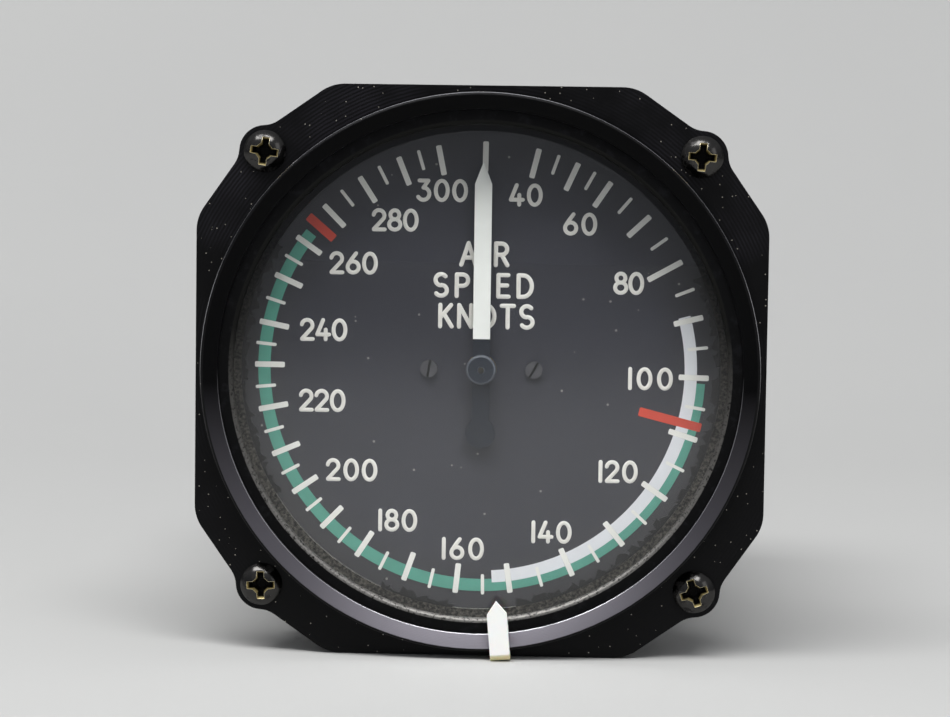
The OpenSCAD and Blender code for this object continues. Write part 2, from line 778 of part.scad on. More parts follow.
module frame_posts() color(brass) for (p = post_places) difference() {
    bar(post_y, post_len, post_r, p);
    bar(post_y - cut, post_screw_len + pilot_gap + cut, post_screw_r + pilot_gap, p);
    bar(cover_y - post_screw_len - pilot_gap, post_screw_len + pilot_gap + cut, post_screw_r + pilot_gap, p);
}

module post_screws() color(steel) for (p = post_places) difference() {
    union() {
        bar(cover_back_y - post_head_h, post_head_h, post_head_r, p);
        bar(cover_y - post_screw_len, post_screw_len + cover_t - post_head_h / 2, post_screw_r, p);
    }
    slab(cover_back_y - post_head_h / 2, post_head_h) translate(p)
        square([post_screw_r * 5, post_screw_r * 0.5], center = true);
}

module staff_bushes() color(bronze) {
    bush(front_plate_y, [0, 0], staff_r);
    bush(front_plate_y, [staff_x, staff_z], pivot_r);
    bush(rear_plate_y, [0, 0], pivot_r);
    bush(rear_plate_y, [staff_x, staff_z], pivot_r);
}

module bush(y, at, r) difference() {
    bar(y, plate_t, bush_r, at);
    bar(y - cut, plate_t + 2 * cut, r + pivot_gap, at);
}

function spiral(deg, side) =
    let (r = spring_in_r + spring_pitch * deg / 360 + side * spring_t / 2)
    r * [cos(deg), sin(deg)];

module hairspring() color("#6a7488") slab(spring_y, spring_w) polygon(concat(
    [for (a = [0:15:360 * spring_turns]) spiral(a, 1)],
    [for (a = [360 * spring_turns:-15:0]) spiral(a, -1)]
));

module hairspring_stud() color(brass) {
    x = spring_out_r + spring_t / 2 + spring_stud_r + close_gap;
    bar(spring_y, rear_plate_y - spring_y, spring_stud_r, [x, 0]);
}

// Outline of one capsule face: radius, and height above the middle plane less the wall.
function capsule_face(wall) = concat(
    [[capsule_flat_r, capsule_h / 2 - wall]],
    [
        for (i = [1:2 * capsule_rings])
            let (s = i / (2 * capsule_rings + 1))
            let (fall = (capsule_h - capsule_rim_h) / 2 * s)
            [
                capsule_flat_r + (capsule_r - capsule_flat_r) * s,
                capsule_h / 2 - fall - wall - (i % 2 == 1 ? ring_wave : 0)
            ]
    ]
);

module capsule() color(bronze) turned() translate([0, capsule_mid_y]) polygon(concat(
    [[0, -capsule_h / 2]],
    [for (p = capsule_face(0)) [p[0], -p[1]]],
    [[capsule_r, -capsule_rim_h / 2], [capsule_r, capsule_rim_h / 2]],
    [for (i = [2 * capsule_rings:-1:0]) capsule_face(0)[i]],
    [[passage_r, capsule_h / 2], [passage_r, capsule_h / 2 - capsule_wall]],
    capsule_face(capsule_wall),
    [[capsule_r - capsule_seam, 0]],
    [for (i = [2 * capsule_rings:-1:0]) let (p = capsule_face(capsule_wall)[i]) [p[0], -p[1]]],
    [[0, -capsule_h / 2 + capsule_wall]]
));

module capsule_stem() color(brass) difference() {
    union() {
        bar(capsule_y + capsule_h, boss_y - capsule_y - capsule_h, stem_r);
        bar(capsule_y + capsule_h, stem_flange_t, stem_flange_r);
    }
    bar(capsule_y, cover_y - capsule_y, passage_r);
}

function bracket_screw_places() = [
    [left_bracket_x + bracket_t - foot_hole_x, shaft_z], [right_bracket_x + foot_hole_x, shaft_z]
];

// An angle bracket with its foot on the rear plate, pointing to +X or -X.
module bracket(x, way) translate([x, 0, shaft_z]) {
    size = [bracket_t, shaft_drop + bracket_w / 2, bracket_w];
    hole_x = way > 0 ? foot_hole_x : bracket_t - foot_hole_x;
    difference() {
        union() {
            translate([0, post_y, -bracket_w / 2]) cube(size);
            translate([way > 0 ? 0 : bracket_t - foot_len, post_y, -bracket_w / 2])
                cube([foot_len, foot_t, bracket_w]);
        }
        translate([0, shaft_y, 0]) cross_bar(-cut, bracket_t + 2 * cut, pivot_r + pivot_gap);
        bar(post_y - cut, foot_t + 2 * cut, bracket_hole_r, [hole_x, 0]);
    }
}

module shaft_brackets() color(brass) {
    bracket(left_bracket_x, -1);
    bracket(right_bracket_x, 1);
}

module bracket_screws() color(steel) for (p = bracket_screw_places()) difference() {
    union() {
        bar(post_y + foot_t, bracket_head_h, bracket_head_r, p);
        bar(rear_plate_y, plate_t + foot_t + bracket_head_h / 2, bracket_screw_r, p);
    }
    slab(post_y + foot_t + bracket_head_h / 2, bracket_head_h) translate(p)
        square([bracket_head_r * 3, bracket_head_r * 0.3], center = true);
}

module pointer_blade() {
    w = pointer_w / 2;
    polygon([[0, tip_r], [w, tip_r - tip_len], [w, -tail_len], [-w, -tail_len], [-w, tip_r - tip_len]]);
}

module pointer() color("#202022") difference() {
    union() {
        slab(pointer_y, pointer_t) pointer_blade();
        bar(pointer_y, pointer_t, weight_r, [0, -tail_len]);
    }
    bar(pointer_y - cut, pointer_t + 2 * cut, staff_r + close_gap);
}

module pointer_paint() color(white) slab(pointer_y - print_t, print_t) intersection() {
    pointer_blade();
    translate([-pointer_w, paint_start]) square([2 * pointer_w, tip_r]);
}

module pointer_hub() color("#2b2b2d") difference() {
    turned() polygon([
        [0, hub_y], [hub_r - hub_edge, hub_y], [hub_r, hub_y + hub_edge], [hub_r, pointer_y], [0, pointer_y]
    ]);
    bar(hub_y - cut, hub_h + 2 * cut, pivot_r + close_gap);
}

module hand_staff() color(steel) {
    front = hub_y - staff_proud;
    turned() polygon([
        [0, front], [pivot_r, front], [pivot_r, pointer_y], [staff_r, pointer_y],
        [staff_r, rear_plate_y - shoulder_gap], [pivot_r, rear_plate_y - shoulder_gap],
        [pivot_r, rear_plate_y + plate_t], [0, rear_plate_y + plate_t]
    ]);
    slab(sector_y + sector_t / 2 - pinion_len / 2, pinion_len) rotate(pinion_phase)
        polygon(gear_points(pinion_teeth, 0, pinion_teeth - 1, pinion_addendum));
}

module hairspring_collet() color(brass) difference() {
    bar(spring_y - collet_over, spring_w + 2 * collet_over, collet_r);
    bar(spring_y - cut, spring_w + 2 * cut, staff_r + close_gap);
}

function involute(a) = tan(a) * 180 / PI - a;

// Half the angle that a tooth takes up at radius r.
function tooth_half(teeth, r) =
    let (pitch_r = gear_module * teeth / 2)
    let (base_r = pitch_r * cos(pressure))
    90 / teeth - gear_play / 4 / pitch_r * 180 / PI
        + involute(pressure) - involute(acos(min(1, base_r / max(r, base_r))));

// One tooth as angles and radii, with straight feet below the base circle.
function tooth(teeth, addendum) =
    let (pitch_r = gear_module * teeth / 2)
    let (base_r = pitch_r * cos(pressure))
    let (root_r = pitch_r - dedendum)
    let (foot_r = max(root_r, base_r))
    let (steps = 4)
    let (rise = [for (i = [0:steps]) foot_r + (pitch_r + addendum - foot_r) * i / steps])
    concat(
        root_r < base_r ? [[-tooth_half(teeth, base_r), root_r]] : [],
        [for (r = rise) [-tooth_half(teeth, r), r]],
        [for (i = [steps:-1:0]) [tooth_half(teeth, rise[i]), rise[i]]],
        root_r < base_r ? [[tooth_half(teeth, base_r), root_r]] : []
    );

// Points of the teeth from first to last, with tooth 0 on +X.
function gear_points(teeth, first, last, addendum) = [
    for (k = [first:last])
        for (p = tooth(teeth, addendum))
            p[1] * [cos(k * 360 / teeth + p[0]), sin(k * 360 / teeth + p[0])]
];

// The sector gear with its staff at the centre and its middle tooth on +X.
module sector_outline() {
    half = end_tooth * 360 / sector_teeth;
    far = 2 * sector_pitch_r;
    window = half - spoke_deg;
    difference() {
        polygon(concat(gear_points(sector_teeth, -end_tooth, end_tooth, sector_addendum), [[0, 0]]));
        intersection() {
            difference() {
                circle(r = sector_root_r - sector_rim);
                circle(r = sector_hub_r + sector_rim);
            }
            polygon([[0, 0], far * [cos(window), -sin(window)], far * [cos(window), sin(window)]]);
        }
    }
    circle(r = sector_hub_r);
}

// The open fork that takes the drive arm's rod, pointing to -X.
module fork_outline() {
    slot = drive_pin_r + fork_gap;
    difference() {
        translate([-fork_r - drive_pin_r * 2, -slot - fork_wall])
            square([fork_r + drive_pin_r * 2, 2 * (slot + fork_wall)]);
        translate([-fork_r * 2, -slot]) square([fork_r * 2 - sector_hub_r, 2 * slot]);
    }
}

module sector_gear() color(brass) difference() {
    slab(sector_y, sector_t) translate([staff_x, staff_z]) difference() {
        rotate(-sector_swing / 2) {
            rotate(line_deg) sector_outline();
            fork_outline();
        }
        circle(r = sector_bore_r);
    }
}

module sector_staff() color(steel) translate([staff_x, 0, staff_z]) turned() polygon([
    [0, front_plate_y], [pivot_r, front_plate_y],
    [pivot_r, gear_y + shoulder_gap], [staff_r, gear_y + shoulder_gap],
    [staff_r, sector_y], [sector_bore_r - close_gap, sector_y],
    [sector_bore_r - close_gap, sector_y + sector_t], [sector_collar_r, sector_y + sector_t],
    [sector_collar_r, sector_y + sector_t + sector_collar_h],
    [staff_r, sector_y + sector_t + sector_collar_h],
    [staff_r, rear_plate_y - shoulder_gap], [pivot_r, rear_plate_y - shoulder_gap],
    [pivot_r, rear_plate_y + plate_t], [0, rear_plate_y + plate_t]
]);

// A round bar along X on the rocking shaft's line.
module cross_bar(x, l, r) {
    translate([x, 0, 0]) rotate([0, 90, 0]) cylinder(h = l, r = r);
}

module rocking_shaft() color(steel) translate([0, shaft_y, shaft_z]) {
    inner_x = left_bracket_x + bracket_t + shaft_end_gap;
    cross_bar(inner_x, right_bracket_x - shaft_end_gap - inner_x, shaft_r);
    cross_bar(left_bracket_x, right_bracket_x + bracket_t - left_bracket_x, pivot_r);
}

module on_shaft(x) {
    translate([x, shaft_y, shaft_z]) rotate([-shaft_swing / 2, 0, 0]) children();
}

module lift_lever() color(brass) on_shaft(0) difference() {
    union() {
        cross_bar(-shaft_hub_len / 2, shaft_hub_len, shaft_hub_r);
        translate([-shaft_hub_len / 3, -lever_t / 2, 0]) cube([shaft_hub_len / 1.5, lever_t, lift_arm]);
        translate([0, 0, lift_arm]) cross_bar(-shaft_hub_len / 2, shaft_hub_len, lift_pin_r);
    }
    cross_bar(-shaft_hub_len, 2 * shaft_hub_len, shaft_r + close_gap);
}

module drive_arm() color(brass) on_shaft(drive_x) difference() {
    union() {
        cross_bar(-shaft_hub_len / 2, shaft_hub_len, shaft_hub_r);
        bar(-drive_reach - drive_over, drive_reach + drive_over, drive_pin_r);
    }
    cross_bar(-shaft_hub_len, 2 * shaft_hub_len, shaft_r + close_gap);
}

module lift_post() color(brass) {
    bar(lift_y, lift_tip_len + close_gap, lift_tip_r);
    bar(lift_y + lift_tip_len, capsule_y - lift_y - lift_tip_len, lift_post_r);
}

module bug_outline(r0, r1) {
    w = bug_w / 2;
    polygon([[0, r0], [w, r0 + bug_tip], [w, r1], [-w, r1], [-w, r0 + bug_tip]]);
}

// The slope cut across the outer end of the bug's face.
module bug_end_cut(y, r) {
    rotate([90, 0, 90]) linear_extrude(height = bug_w + 2 * cut, center = true) polygon([
        [y - cut, r - bug_slope - cut], [y + bug_slope + cut, r + cut], [y - cut, r + cut]
    ]);
}

module speed_bug() color("#f6f6f0") clocked(bug_deg) {
    under = ring_y - bug_gap;
    out_r = ring_r + bug_gap + bug_leg;
    leg_y = -flange_t - head_edge - head_pass;
    difference() {
        slab(under - bug_t, bug_t) bug_outline(bore_r - bug_reach, out_r);
        bug_end_cut(under - bug_t, out_r);
    }
    difference() {
        slab(under - close_gap, leg_y - under + close_gap) translate([-bug_w / 2, ring_r])
            square([bug_w, out_r - ring_r]);
        bar(under - cut, ring_h + 2 * cut, ring_r + bug_gap);
        bug_end_cut(under - bug_t, out_r);
    }
    intersection() {
        slab(under - close_gap, cone_h + bug_gap - close_gap)
            translate([-bug_w / 2, bore_r - bug_gap - bug_leg]) square([bug_w, bug_leg + cut]);
        bar(under - cut, ring_h + 2 * cut, bore_r - bug_gap);
    }
}

case_shell();
glass();
glass_gasket();
retaining_ring();
panel_screws();
rear_cover();
cover_seal();
cover_screws();
dial();
scale_marks();
green_arc();
white_arc();
red_marks();
dial_stud();
dial_screws();
dial_spacers();
front_plate();
rear_plate();
plate_pillars();
plate_screws();
frame_posts();
post_screws();
staff_bushes();
hairspring();
hairspring_stud();
capsule();
capsule_stem();
shaft_brackets();
bracket_screws();
pointer();
pointer_paint();
pointer_hub();
hand_staff();
hairspring_collet();
sector_gear();
sector_staff();
rocking_shaft();
lift_lever();
drive_arm();
lift_post();
speed_bug();
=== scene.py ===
import math
import bpy
from mathutils import Matrix, Vector


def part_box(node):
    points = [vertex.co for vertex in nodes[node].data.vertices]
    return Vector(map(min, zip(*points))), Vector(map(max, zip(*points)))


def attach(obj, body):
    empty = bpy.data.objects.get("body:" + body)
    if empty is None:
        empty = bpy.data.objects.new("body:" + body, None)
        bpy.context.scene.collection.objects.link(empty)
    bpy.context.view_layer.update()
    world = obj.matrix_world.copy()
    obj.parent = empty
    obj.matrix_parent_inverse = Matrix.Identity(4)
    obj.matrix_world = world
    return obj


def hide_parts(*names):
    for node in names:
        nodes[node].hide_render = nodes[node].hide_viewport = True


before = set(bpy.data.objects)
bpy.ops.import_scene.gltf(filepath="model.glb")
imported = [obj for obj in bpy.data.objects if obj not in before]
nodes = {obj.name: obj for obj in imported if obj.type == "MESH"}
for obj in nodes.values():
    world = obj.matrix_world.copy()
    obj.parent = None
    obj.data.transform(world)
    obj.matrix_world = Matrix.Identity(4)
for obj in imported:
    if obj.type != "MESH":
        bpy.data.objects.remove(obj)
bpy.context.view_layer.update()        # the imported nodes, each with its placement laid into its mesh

mm = 0.001
meshRules = {"weldMm": 0.001, "strokeWeldMm": 0.002, "flatDeg": 0.2, "smoothDeg": 40, "sharpDeg": 32}
waveLength = 0.314  # metres between two rings of a wave texture at scale 1
print("frame loaded:", len(nodes), "nodes")


# Small helpers

def linear(hexColour):
    # sRGB hex to linear light
    parts = [int(hexColour[i:i + 2], 16) / 255 for i in (1, 3, 5)]
    return tuple(c / 12.92 if c <= 0.04045 else ((c + 0.055) / 1.055) ** 2.4 for c in parts) + (1.0,)


def perMetre(sizeMm):
    return 1 / (sizeMm * mm)  # texture scale whose cells are this wide


def addNode(tree, kind, settings=None):
    # a setting is another node's output, a value for an input, or an option of the node
    node = tree.nodes.new(kind)
    for key, value in (settings or {}).items():
        if isinstance(value, bpy.types.NodeSocket):
            tree.links.new(value, node.inputs[key])
        elif isinstance(key, int) or key in node.inputs:
            node.inputs[key].default_value = value
        else:
            setattr(node, key, value)
    return node


def startMaterial(name, colour, metallic=0.0, roughness=0.5, settings=None):
    material = bpy.data.materials.new(name)
    material.use_nodes = True
    tree = material.node_tree
    shader = tree.nodes["Principled BSDF"]
    shader.inputs["Base Color"].default_value = linear(colour)
    shader.inputs["Metallic"].default_value = metallic
    shader.inputs["Roughness"].default_value = roughness
    for key, value in (settings or {}).items():
        shader.inputs[key].default_value = value
    place = addNode(tree, "ShaderNodeTexCoord").outputs["Object"]
    return material, tree, shader, place


def activate(piece):
    if bpy.context.object and bpy.context.object.mode != "OBJECT":
        bpy.ops.object.mode_set(mode="OBJECT")
    bpy.ops.object.select_all(action="DESELECT")
    piece.select_set(True)
    bpy.context.view_layer.objects.active = piece


def mergedCopy(nodeName, pieceName):
    piece = bpy.data.objects.new(pieceName, nodes[nodeName].data.copy())
    bpy.context.scene.collection.objects.link(piece)
    piece.data.materials.clear()
    activate(piece)
    bpy.ops.object.mode_set(mode="EDIT")
    bpy.ops.mesh.select_all(action="SELECT")
    bpy.ops.mesh.remove_doubles(threshold=meshRules["weldMm"] * mm)
    bpy.ops.mesh.customdata_custom_splitnormals_clear()
    bpy.ops.mesh.dissolve_limited(angle_limit=math.radians(meshRules["flatDeg"]))
    bpy.ops.object.mode_set(mode="OBJECT")
    return piece


def clearChoice(piece, kind):
    # nothing is chosen, and the next choice is of this kind
    activate(piece)
    bpy.ops.object.mode_set(mode="EDIT")
    bpy.ops.mesh.select_mode(type=kind)
    bpy.ops.mesh.select_all(action="DESELECT")
    bpy.ops.object.mode_set(mode="OBJECT")


def selectEdges(piece, wanted):
    clearChoice(piece, "EDGE")
    points = piece.data.vertices
    for edge in piece.data.edges:
        edge.select = wanted(points[edge.vertices[0]].co / mm, points[edge.vertices[1]].co / mm)
    bpy.ops.object.mode_set(mode="EDIT")


def faceOutward(piece):
    activate(piece)
    bpy.ops.object.mode_set(mode="EDIT")
    bpy.ops.mesh.select_all(action="SELECT")
    bpy.ops.mesh.normals_make_consistent(inside=False)
    bpy.ops.object.mode_set(mode="OBJECT")


def smoothByAngle(piece, degrees):
    activate(piece)
    bpy.ops.object.shade_smooth_by_angle(angle=math.radians(degrees))


def evenShade(piece):
    # broad faces keep flat light right up to their small bevels
    smoothByAngle(piece, meshRules["smoothDeg"])
    weigh = piece.modifiers.new("weigh", "WEIGHTED_NORMAL")
    weigh.keep_sharp = True
    bpy.ops.object.modifier_apply(modifier="weigh")


def keepPlace(piece):
    activate(piece)
    bpy.ops.object.transform_apply(location=True, rotation=True, scale=True)


def standsFor(piece, body, slot, *replaced):
    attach(piece, body)
    if replaced:
        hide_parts(*replaced)


# Node helpers for the finishes

def noise(tree, place, sizeMm, detail, roughness=0.5):
    settings = {"Scale": perMetre(sizeMm), "Detail": detail, "Roughness": roughness, "Vector": place}
    return addNode(tree, "ShaderNodeTexNoise", settings).outputs["Fac"]


def latheRings(tree, place, ringMm, distortion, detail):
    # rings around the dial axis, this far apart
    settings = {"wave_type": "RINGS", "rings_direction": "Y", "Distortion": distortion, "Detail": detail,
                "Scale": waveLength * perMetre(ringMm), "Vector": place}
    return addNode(tree, "ShaderNodeTexWave", settings).outputs["Fac"]


def combine(tree, operation, first, second):
    return addNode(tree, "ShaderNodeMath", {"operation": operation, 0: first, 1: second}).outputs[0]


def spots(tree, place, cellMm, size):
    # one round spot in each cell, and a chance value for the cell
    cells = addNode(tree, "ShaderNodeTexVoronoi", {"Scale": perMetre(cellMm), "Vector": place})
    return combine(tree, "LESS_THAN", cells.outputs["Distance"], size), cells.outputs["Color"]


def axisDistance(tree, place):
    flat = addNode(tree, "ShaderNodeVectorMath", {"operation": "MULTIPLY", 0: place, 1: (1, 0, 1)})
    return addNode(tree, "ShaderNodeVectorMath", {"operation": "LENGTH", 0: flat.outputs[0]}).outputs["Value"]


def ramp(tree, value, low, high, toLow=0.0, toHigh=1.0):
    settings = {"Value": value, "From Min": low, "From Max": high, "To Min": toLow, "To Max": toHigh}
    return addNode(tree, "ShaderNodeMapRange", settings).outputs[0]


def fadeAlong(tree, place, levels):
    # rises from 0 to 1 between two levels of one axis, in mm
    axis, first, last = levels
    apart = addNode(tree, "ShaderNodeSeparateXYZ", {0: place})
    return ramp(tree, apart.outputs[axis], first * mm, last * mm)


def blend(tree, share, first, second):
    # mixes two colours, each a hex value or another node's output
    ends = [linear(colour) if isinstance(colour, str) else colour for colour in (first, second)]
    settings = {"data_type": "RGBA", 0: share, 6: ends[0], 7: ends[1]}
    return addNode(tree, "ShaderNodeMix", settings).outputs[2]


def addRelief(tree, shader, height, strength, depthMm):
    settings = {"Strength": strength, "Distance": depthMm * mm, "Height": height}
    tree.links.new(addNode(tree, "ShaderNodeBump", settings).outputs[0], shader.inputs["Normal"])


# Finishes

def blackAnodised():
    # turned aluminium, anodised black: near black with a satin sheen, turning marks with painted sheen, and
    # pale dust
    # marks and grain are drawn coarser than the real ones, so that they show
    look = {"body": "#050506", "markSheen": "#1e1d22", "dust": "#a8a399", "ringMm": 0.5, "grainMm": 0.09,
            "blotchMm": 11, "worn": (0.42, 0.68), "markLevels": ("Z", -40, 30), "dustMm": 0.75,
            "dustSize": 0.1, "dustShare": 0.6, "reliefMm": 0.004, "roughness": (0.34, 0.5)}
    # the dyed oxide is porous, so it mirrors less than its bulk would
    settings = {"IOR": 1.6, "Specular IOR Level": 0.1}
    material, tree, shader, place = startMaterial("black_anodised_aluminium", look["body"], roughness=0.4,
                                                  settings=settings)
    blotch = noise(tree, place, look["blotchMm"], detail=4)
    rings = latheRings(tree, place, look["ringMm"], distortion=1.5, detail=2)
    worn = ramp(tree, blotch, *look["worn"])
    # painted sheen: the turning marks are lightened in patches and more towards the top, standing in for the
    # light they catch
    lit = combine(tree, "MULTIPLY", worn, fadeAlong(tree, place, look["markLevels"]))
    tone = blend(tree, combine(tree, "MULTIPLY", rings, lit), look["body"], look["markSheen"])
    speck, chance = spots(tree, place, look["dustMm"], look["dustSize"])
    dusty = combine(tree, "MULTIPLY", speck, combine(tree, "GREATER_THAN", chance, look["dustShare"]))
    tree.links.new(blend(tree, dusty, tone, look["dust"]), shader.inputs["Base Color"])
    grain = noise(tree, place, look["grainMm"], detail=2)
    height = combine(tree, "ADD", rings, grain)
    addRelief(tree, shader, height, strength=0.6, depthMm=look["reliefMm"])
    tree.links.new(ramp(tree, blotch, 0, 1, *look["roughness"]), shader.inputs["Roughness"])
    return material


def wornMetalAndPaintedLight(name, bare, dark, wearMm, share, roughness, levels=None, ringMm=None):
    # metal rubbed through its dark finish: bright stretches that fade to dark ones
    look = {"fade": 0.12, "metallic": (0.25, 1.0), "reliefMm": 0.004}
    material, tree, shader, place = startMaterial(name, bare, metallic=1.0, roughness=roughness,
                                                  settings={"Specular IOR Level": 0.08})
    wear = noise(tree, place, wearMm, detail=6, roughness=0.65)
    mask = ramp(tree, wear, share, share + look["fade"])
    # levels keep the bright metal to one band of height or depth: painted highlight where an edge faces the
    # lamp, painted shade deep in a recess
    if levels:
        mask = combine(tree, "MULTIPLY", mask, fadeAlong(tree, place, levels))
    tree.links.new(blend(tree, mask, dark, bare), shader.inputs["Base Color"])
    tree.links.new(ramp(tree, mask, 0, 1, *look["metallic"]), shader.inputs["Metallic"])
    if ringMm:
        # wider apart than the real turning marks, so that they show
        rings = latheRings(tree, place, ringMm, distortion=2, detail=3)
        addRelief(tree, shader, rings, strength=0.7, depthMm=look["reliefMm"])
    return material


def mattePaint(name, colour, shade, grainMm, roughness, shine=0.5, slotShadeMm=None):
    # screen-printed or sprayed matte paint: even colour with slight mottling and a faint tooth
    # the tooth is drawn coarser than the real one, so that it shows
    look = {"mottleGrains": 9, "reliefMm": 0.004, "slotShade": "#050505"}
    material, tree, shader, place = startMaterial(name, colour, roughness=roughness,
                                                  settings={"Specular IOR Level": shine})
    mottle = noise(tree, place, grainMm * look["mottleGrains"], detail=5)
    tone = blend(tree, mottle, shade, colour)
    if slotShadeMm:
        # painted shade blackens what lies behind the front face, such as a slot
        tone = blend(tree, fadeAlong(tree, place, ("Y",) + slotShadeMm), tone, look["slotShade"])
    tree.links.new(tone, shader.inputs["Base Color"])
    tooth = noise(tree, place, grainMm, detail=2)
    addRelief(tree, shader, tooth, strength=0.5, depthMm=look["reliefMm"])
    return material


def dialBlack():
    # matte black dial paint gone slightly blue-grey, with brown haze near the rim and stray pale flecks
    # its tooth is drawn coarser than the real one, so that it shows
    look = {"paint": "#2d2d33", "haze": "#34343b", "brown": "#393531", "fleck": "#7d7b76", "hazeMm": 14,
            "toothMm": 0.16, "fleckMm": 3.4, "fleckSize": 0.055, "rimMm": (27, 36), "rimShare": 0.7,
            "reliefMm": 0.001}
    material, tree, shader, place = startMaterial("matte_black_dial_paint", look["paint"], roughness=0.62,
                                                  settings={"Specular IOR Level": 0.2})
    cloud = noise(tree, place, look["hazeMm"], detail=5)
    tone = blend(tree, cloud, look["paint"], look["haze"])
    first, last = look["rimMm"]
    rim = ramp(tree, axisDistance(tree, place), first * mm, last * mm, 0, look["rimShare"])
    aged = blend(tree, combine(tree, "MULTIPLY", rim, cloud), tone, look["brown"])
    fleck = spots(tree, place, look["fleckMm"], look["fleckSize"])[0]
    tree.links.new(blend(tree, fleck, aged, look["fleck"]), shader.inputs["Base Color"])
    tooth = noise(tree, place, look["toothMm"], detail=3)
    addRelief(tree, shader, tooth, strength=0.3, depthMm=look["reliefMm"])
    return material


def coverGlass():
    # borosilicate glass: clear, with the faintest smears; lamps shine through it to the dial
    # its bloomed surface mirrors less than bare glass
    look = {"tint": "#fbfdfd", "smearMm": 13, "smear": (0.5, 0.8), "roughness": (0.0, 0.05)}
    settings = {"IOR": 1.47, "Transmission Weight": 1.0, "Specular IOR Level": 0.2}
    material, tree, shader, place = startMaterial("clear_borosilicate_glass", look["tint"], roughness=0.01,
                                                  settings=settings)
    smear = noise(tree, place, look["smearMm"], detail=6, roughness=0.7)
    tree.links.new(ramp(tree, smear, *look["smear"], *look["roughness"]), shader.inputs["Roughness"])
    clear = addNode(tree, "ShaderNodeBsdfTransparent")
    ray = addNode(tree, "ShaderNodeLightPath")
    mixed = addNode(tree, "ShaderNodeMixShader",
                    {0: ray.outputs["Is Shadow Ray"], 1: shader.outputs[0], 2: clear.outputs[0]})
    tree.links.new(mixed.outputs[0], tree.nodes["Material Output"].inputs["Surface"])
    return material


def dustyRubber(name, rubber, dust, grainMm, levels=None):
    # moulded black rubber with brown dust caught in it
    look = {"dusty": (0.42, 0.66), "reliefMm": 0.03}
    material, tree, shader, place = startMaterial(name, rubber, roughness=0.75, settings={"IOR": 1.52})
    grit = noise(tree, place, grainMm, detail=6, roughness=0.7)
    mask = ramp(tree, grit, *look["dusty"])
    if levels:
        mask = combine(tree, "MULTIPLY", mask, fadeAlong(tree, place, levels))
    tree.links.new(blend(tree, mask, rubber, dust), shader.inputs["Base Color"])
    addRelief(tree, shader, grit, strength=0.7, depthMm=look["reliefMm"])
    return material


def workedMetal(name, colour, dark, roughness, lineMm):
    # plain machined metal: even colour, fine tool lines and faint tarnish
    # the lines are drawn wider apart than the real ones, so that they show
    look = {"tarnishLines": 14, "reliefMm": 0.003, "gloss": (-0.06, 0.1)}
    material, tree, shader, place = startMaterial(name, colour, metallic=1.0, roughness=roughness)
    tarnish = noise(tree, place, lineMm * look["tarnishLines"], detail=5)
    tree.links.new(blend(tree, tarnish, dark, colour), shader.inputs["Base Color"])
    lines = latheRings(tree, place, lineMm, distortion=3, detail=3)
    addRelief(tree, shader, lines, strength=0.5, depthMm=look["reliefMm"])
    gloss = [roughness + change for change in look["gloss"]]
    tree.links.new(ramp(tree, tarnish, 0, 1, *gloss), shader.inputs["Roughness"])
    return material


def bugPlastic():
    # white nylon: bright, faintly translucent, turning yellowish at the outer end
    look = {"white": "#fafaf6", "yellow": "#ece2b2", "endMm": (40.55, 40.95), "grainMm": 0.5,
            "reliefMm": 0.01, "glowMm": 0.4}
    settings = {"IOR": 1.53, "Subsurface Weight": 0.2, "Subsurface Scale": look["glowMm"] * mm}
    material, tree, shader, place = startMaterial("white_nylon", look["white"], roughness=0.42,
                                                  settings=settings)
    first, last = look["endMm"]
    end = ramp(tree, axisDistance(tree, place), first * mm, last * mm)
    tree.links.new(blend(tree, end, look["white"], look["yellow"]), shader.inputs["Base Color"])
    grain = noise(tree, place, look["grainMm"], detail=3)
    addRelief(tree, shader, grain, strength=0.4, depthMm=look["reliefMm"])
    return material


anodised = blackAnodised()
# painted highlight: the bare metal of the outer edges shows only high up, where the edges face the lamp; its
# rubbed stretches are wear
anodisedEdgeWearAndSheen = wornMetalAndPaintedLight("worn_anodised_edge_and_top_sheen", "#8e8d92", "#0a0a0c", wearMm=9, share=0.34, roughness=0.34,
                        levels=("Z", 4, 24))
# painted highlight: the bright line on the ring's outer chamfer shows mostly on its upper half, facing the
# lamp
ringEdgeWearAndSheen = wornMetalAndPaintedLight("bare_ring_edge_and_top_sheen", "#efeef3", "#0a0a0c", wearMm=9, share=0.24, roughness=0.2,
                    levels=("Z", -4, 16))
# painted highlight: the bright inner edge of the ring's cone shows only on its lower half, where it faces up
# to the lamp
innerEdgeWearAndSheen = wornMetalAndPaintedLight("bare_aluminium_edge_and_low_sheen", "#c4c3c8", "#0c0c0e", wearMm=9, share=0.3, roughness=0.3,
                     levels=("Z", 0, -18))
# painted highlight: the cone gets a bright metal sheen with fine turning lines only low down, where it faces
# up to the lamp
coneLowSheen = wornMetalAndPaintedLight("aluminium_cone_low_sheen", "#525055", "#040405", wearMm=0.9, share=0.2, roughness=0.42,
                      levels=("Z", -2, -24), ringMm=0.2)
dialPaint = dialBlack()
creamPrint = mattePaint("cream_dial_print", "#e0ddd7", "#d2cec6", grainMm=0.14, roughness=0.6)
scalePrint = mattePaint("cream_scale_print", "#e9e7e2", "#dddad3", grainMm=0.14, roughness=0.6)
greenPrint = mattePaint("green_dial_print", "#519b88", "#458978", grainMm=0.14, roughness=0.6)
whitePrint = mattePaint("white_dial_print", "#dcdcdf", "#d3d3d7", grainMm=0.14, roughness=0.6)
redPrint = mattePaint("red_dial_print", "#cb3d24", "#b53520", grainMm=0.14, roughness=0.55)
pointerWhite = mattePaint("white_pointer_paint", "#e5e5e1", "#dcdcd7", grainMm=0.14, roughness=0.55)
pointerBlack = mattePaint("black_pointer_lacquer", "#20242c", "#1b1e25", grainMm=0.14, roughness=0.5,
                          shine=0.12)
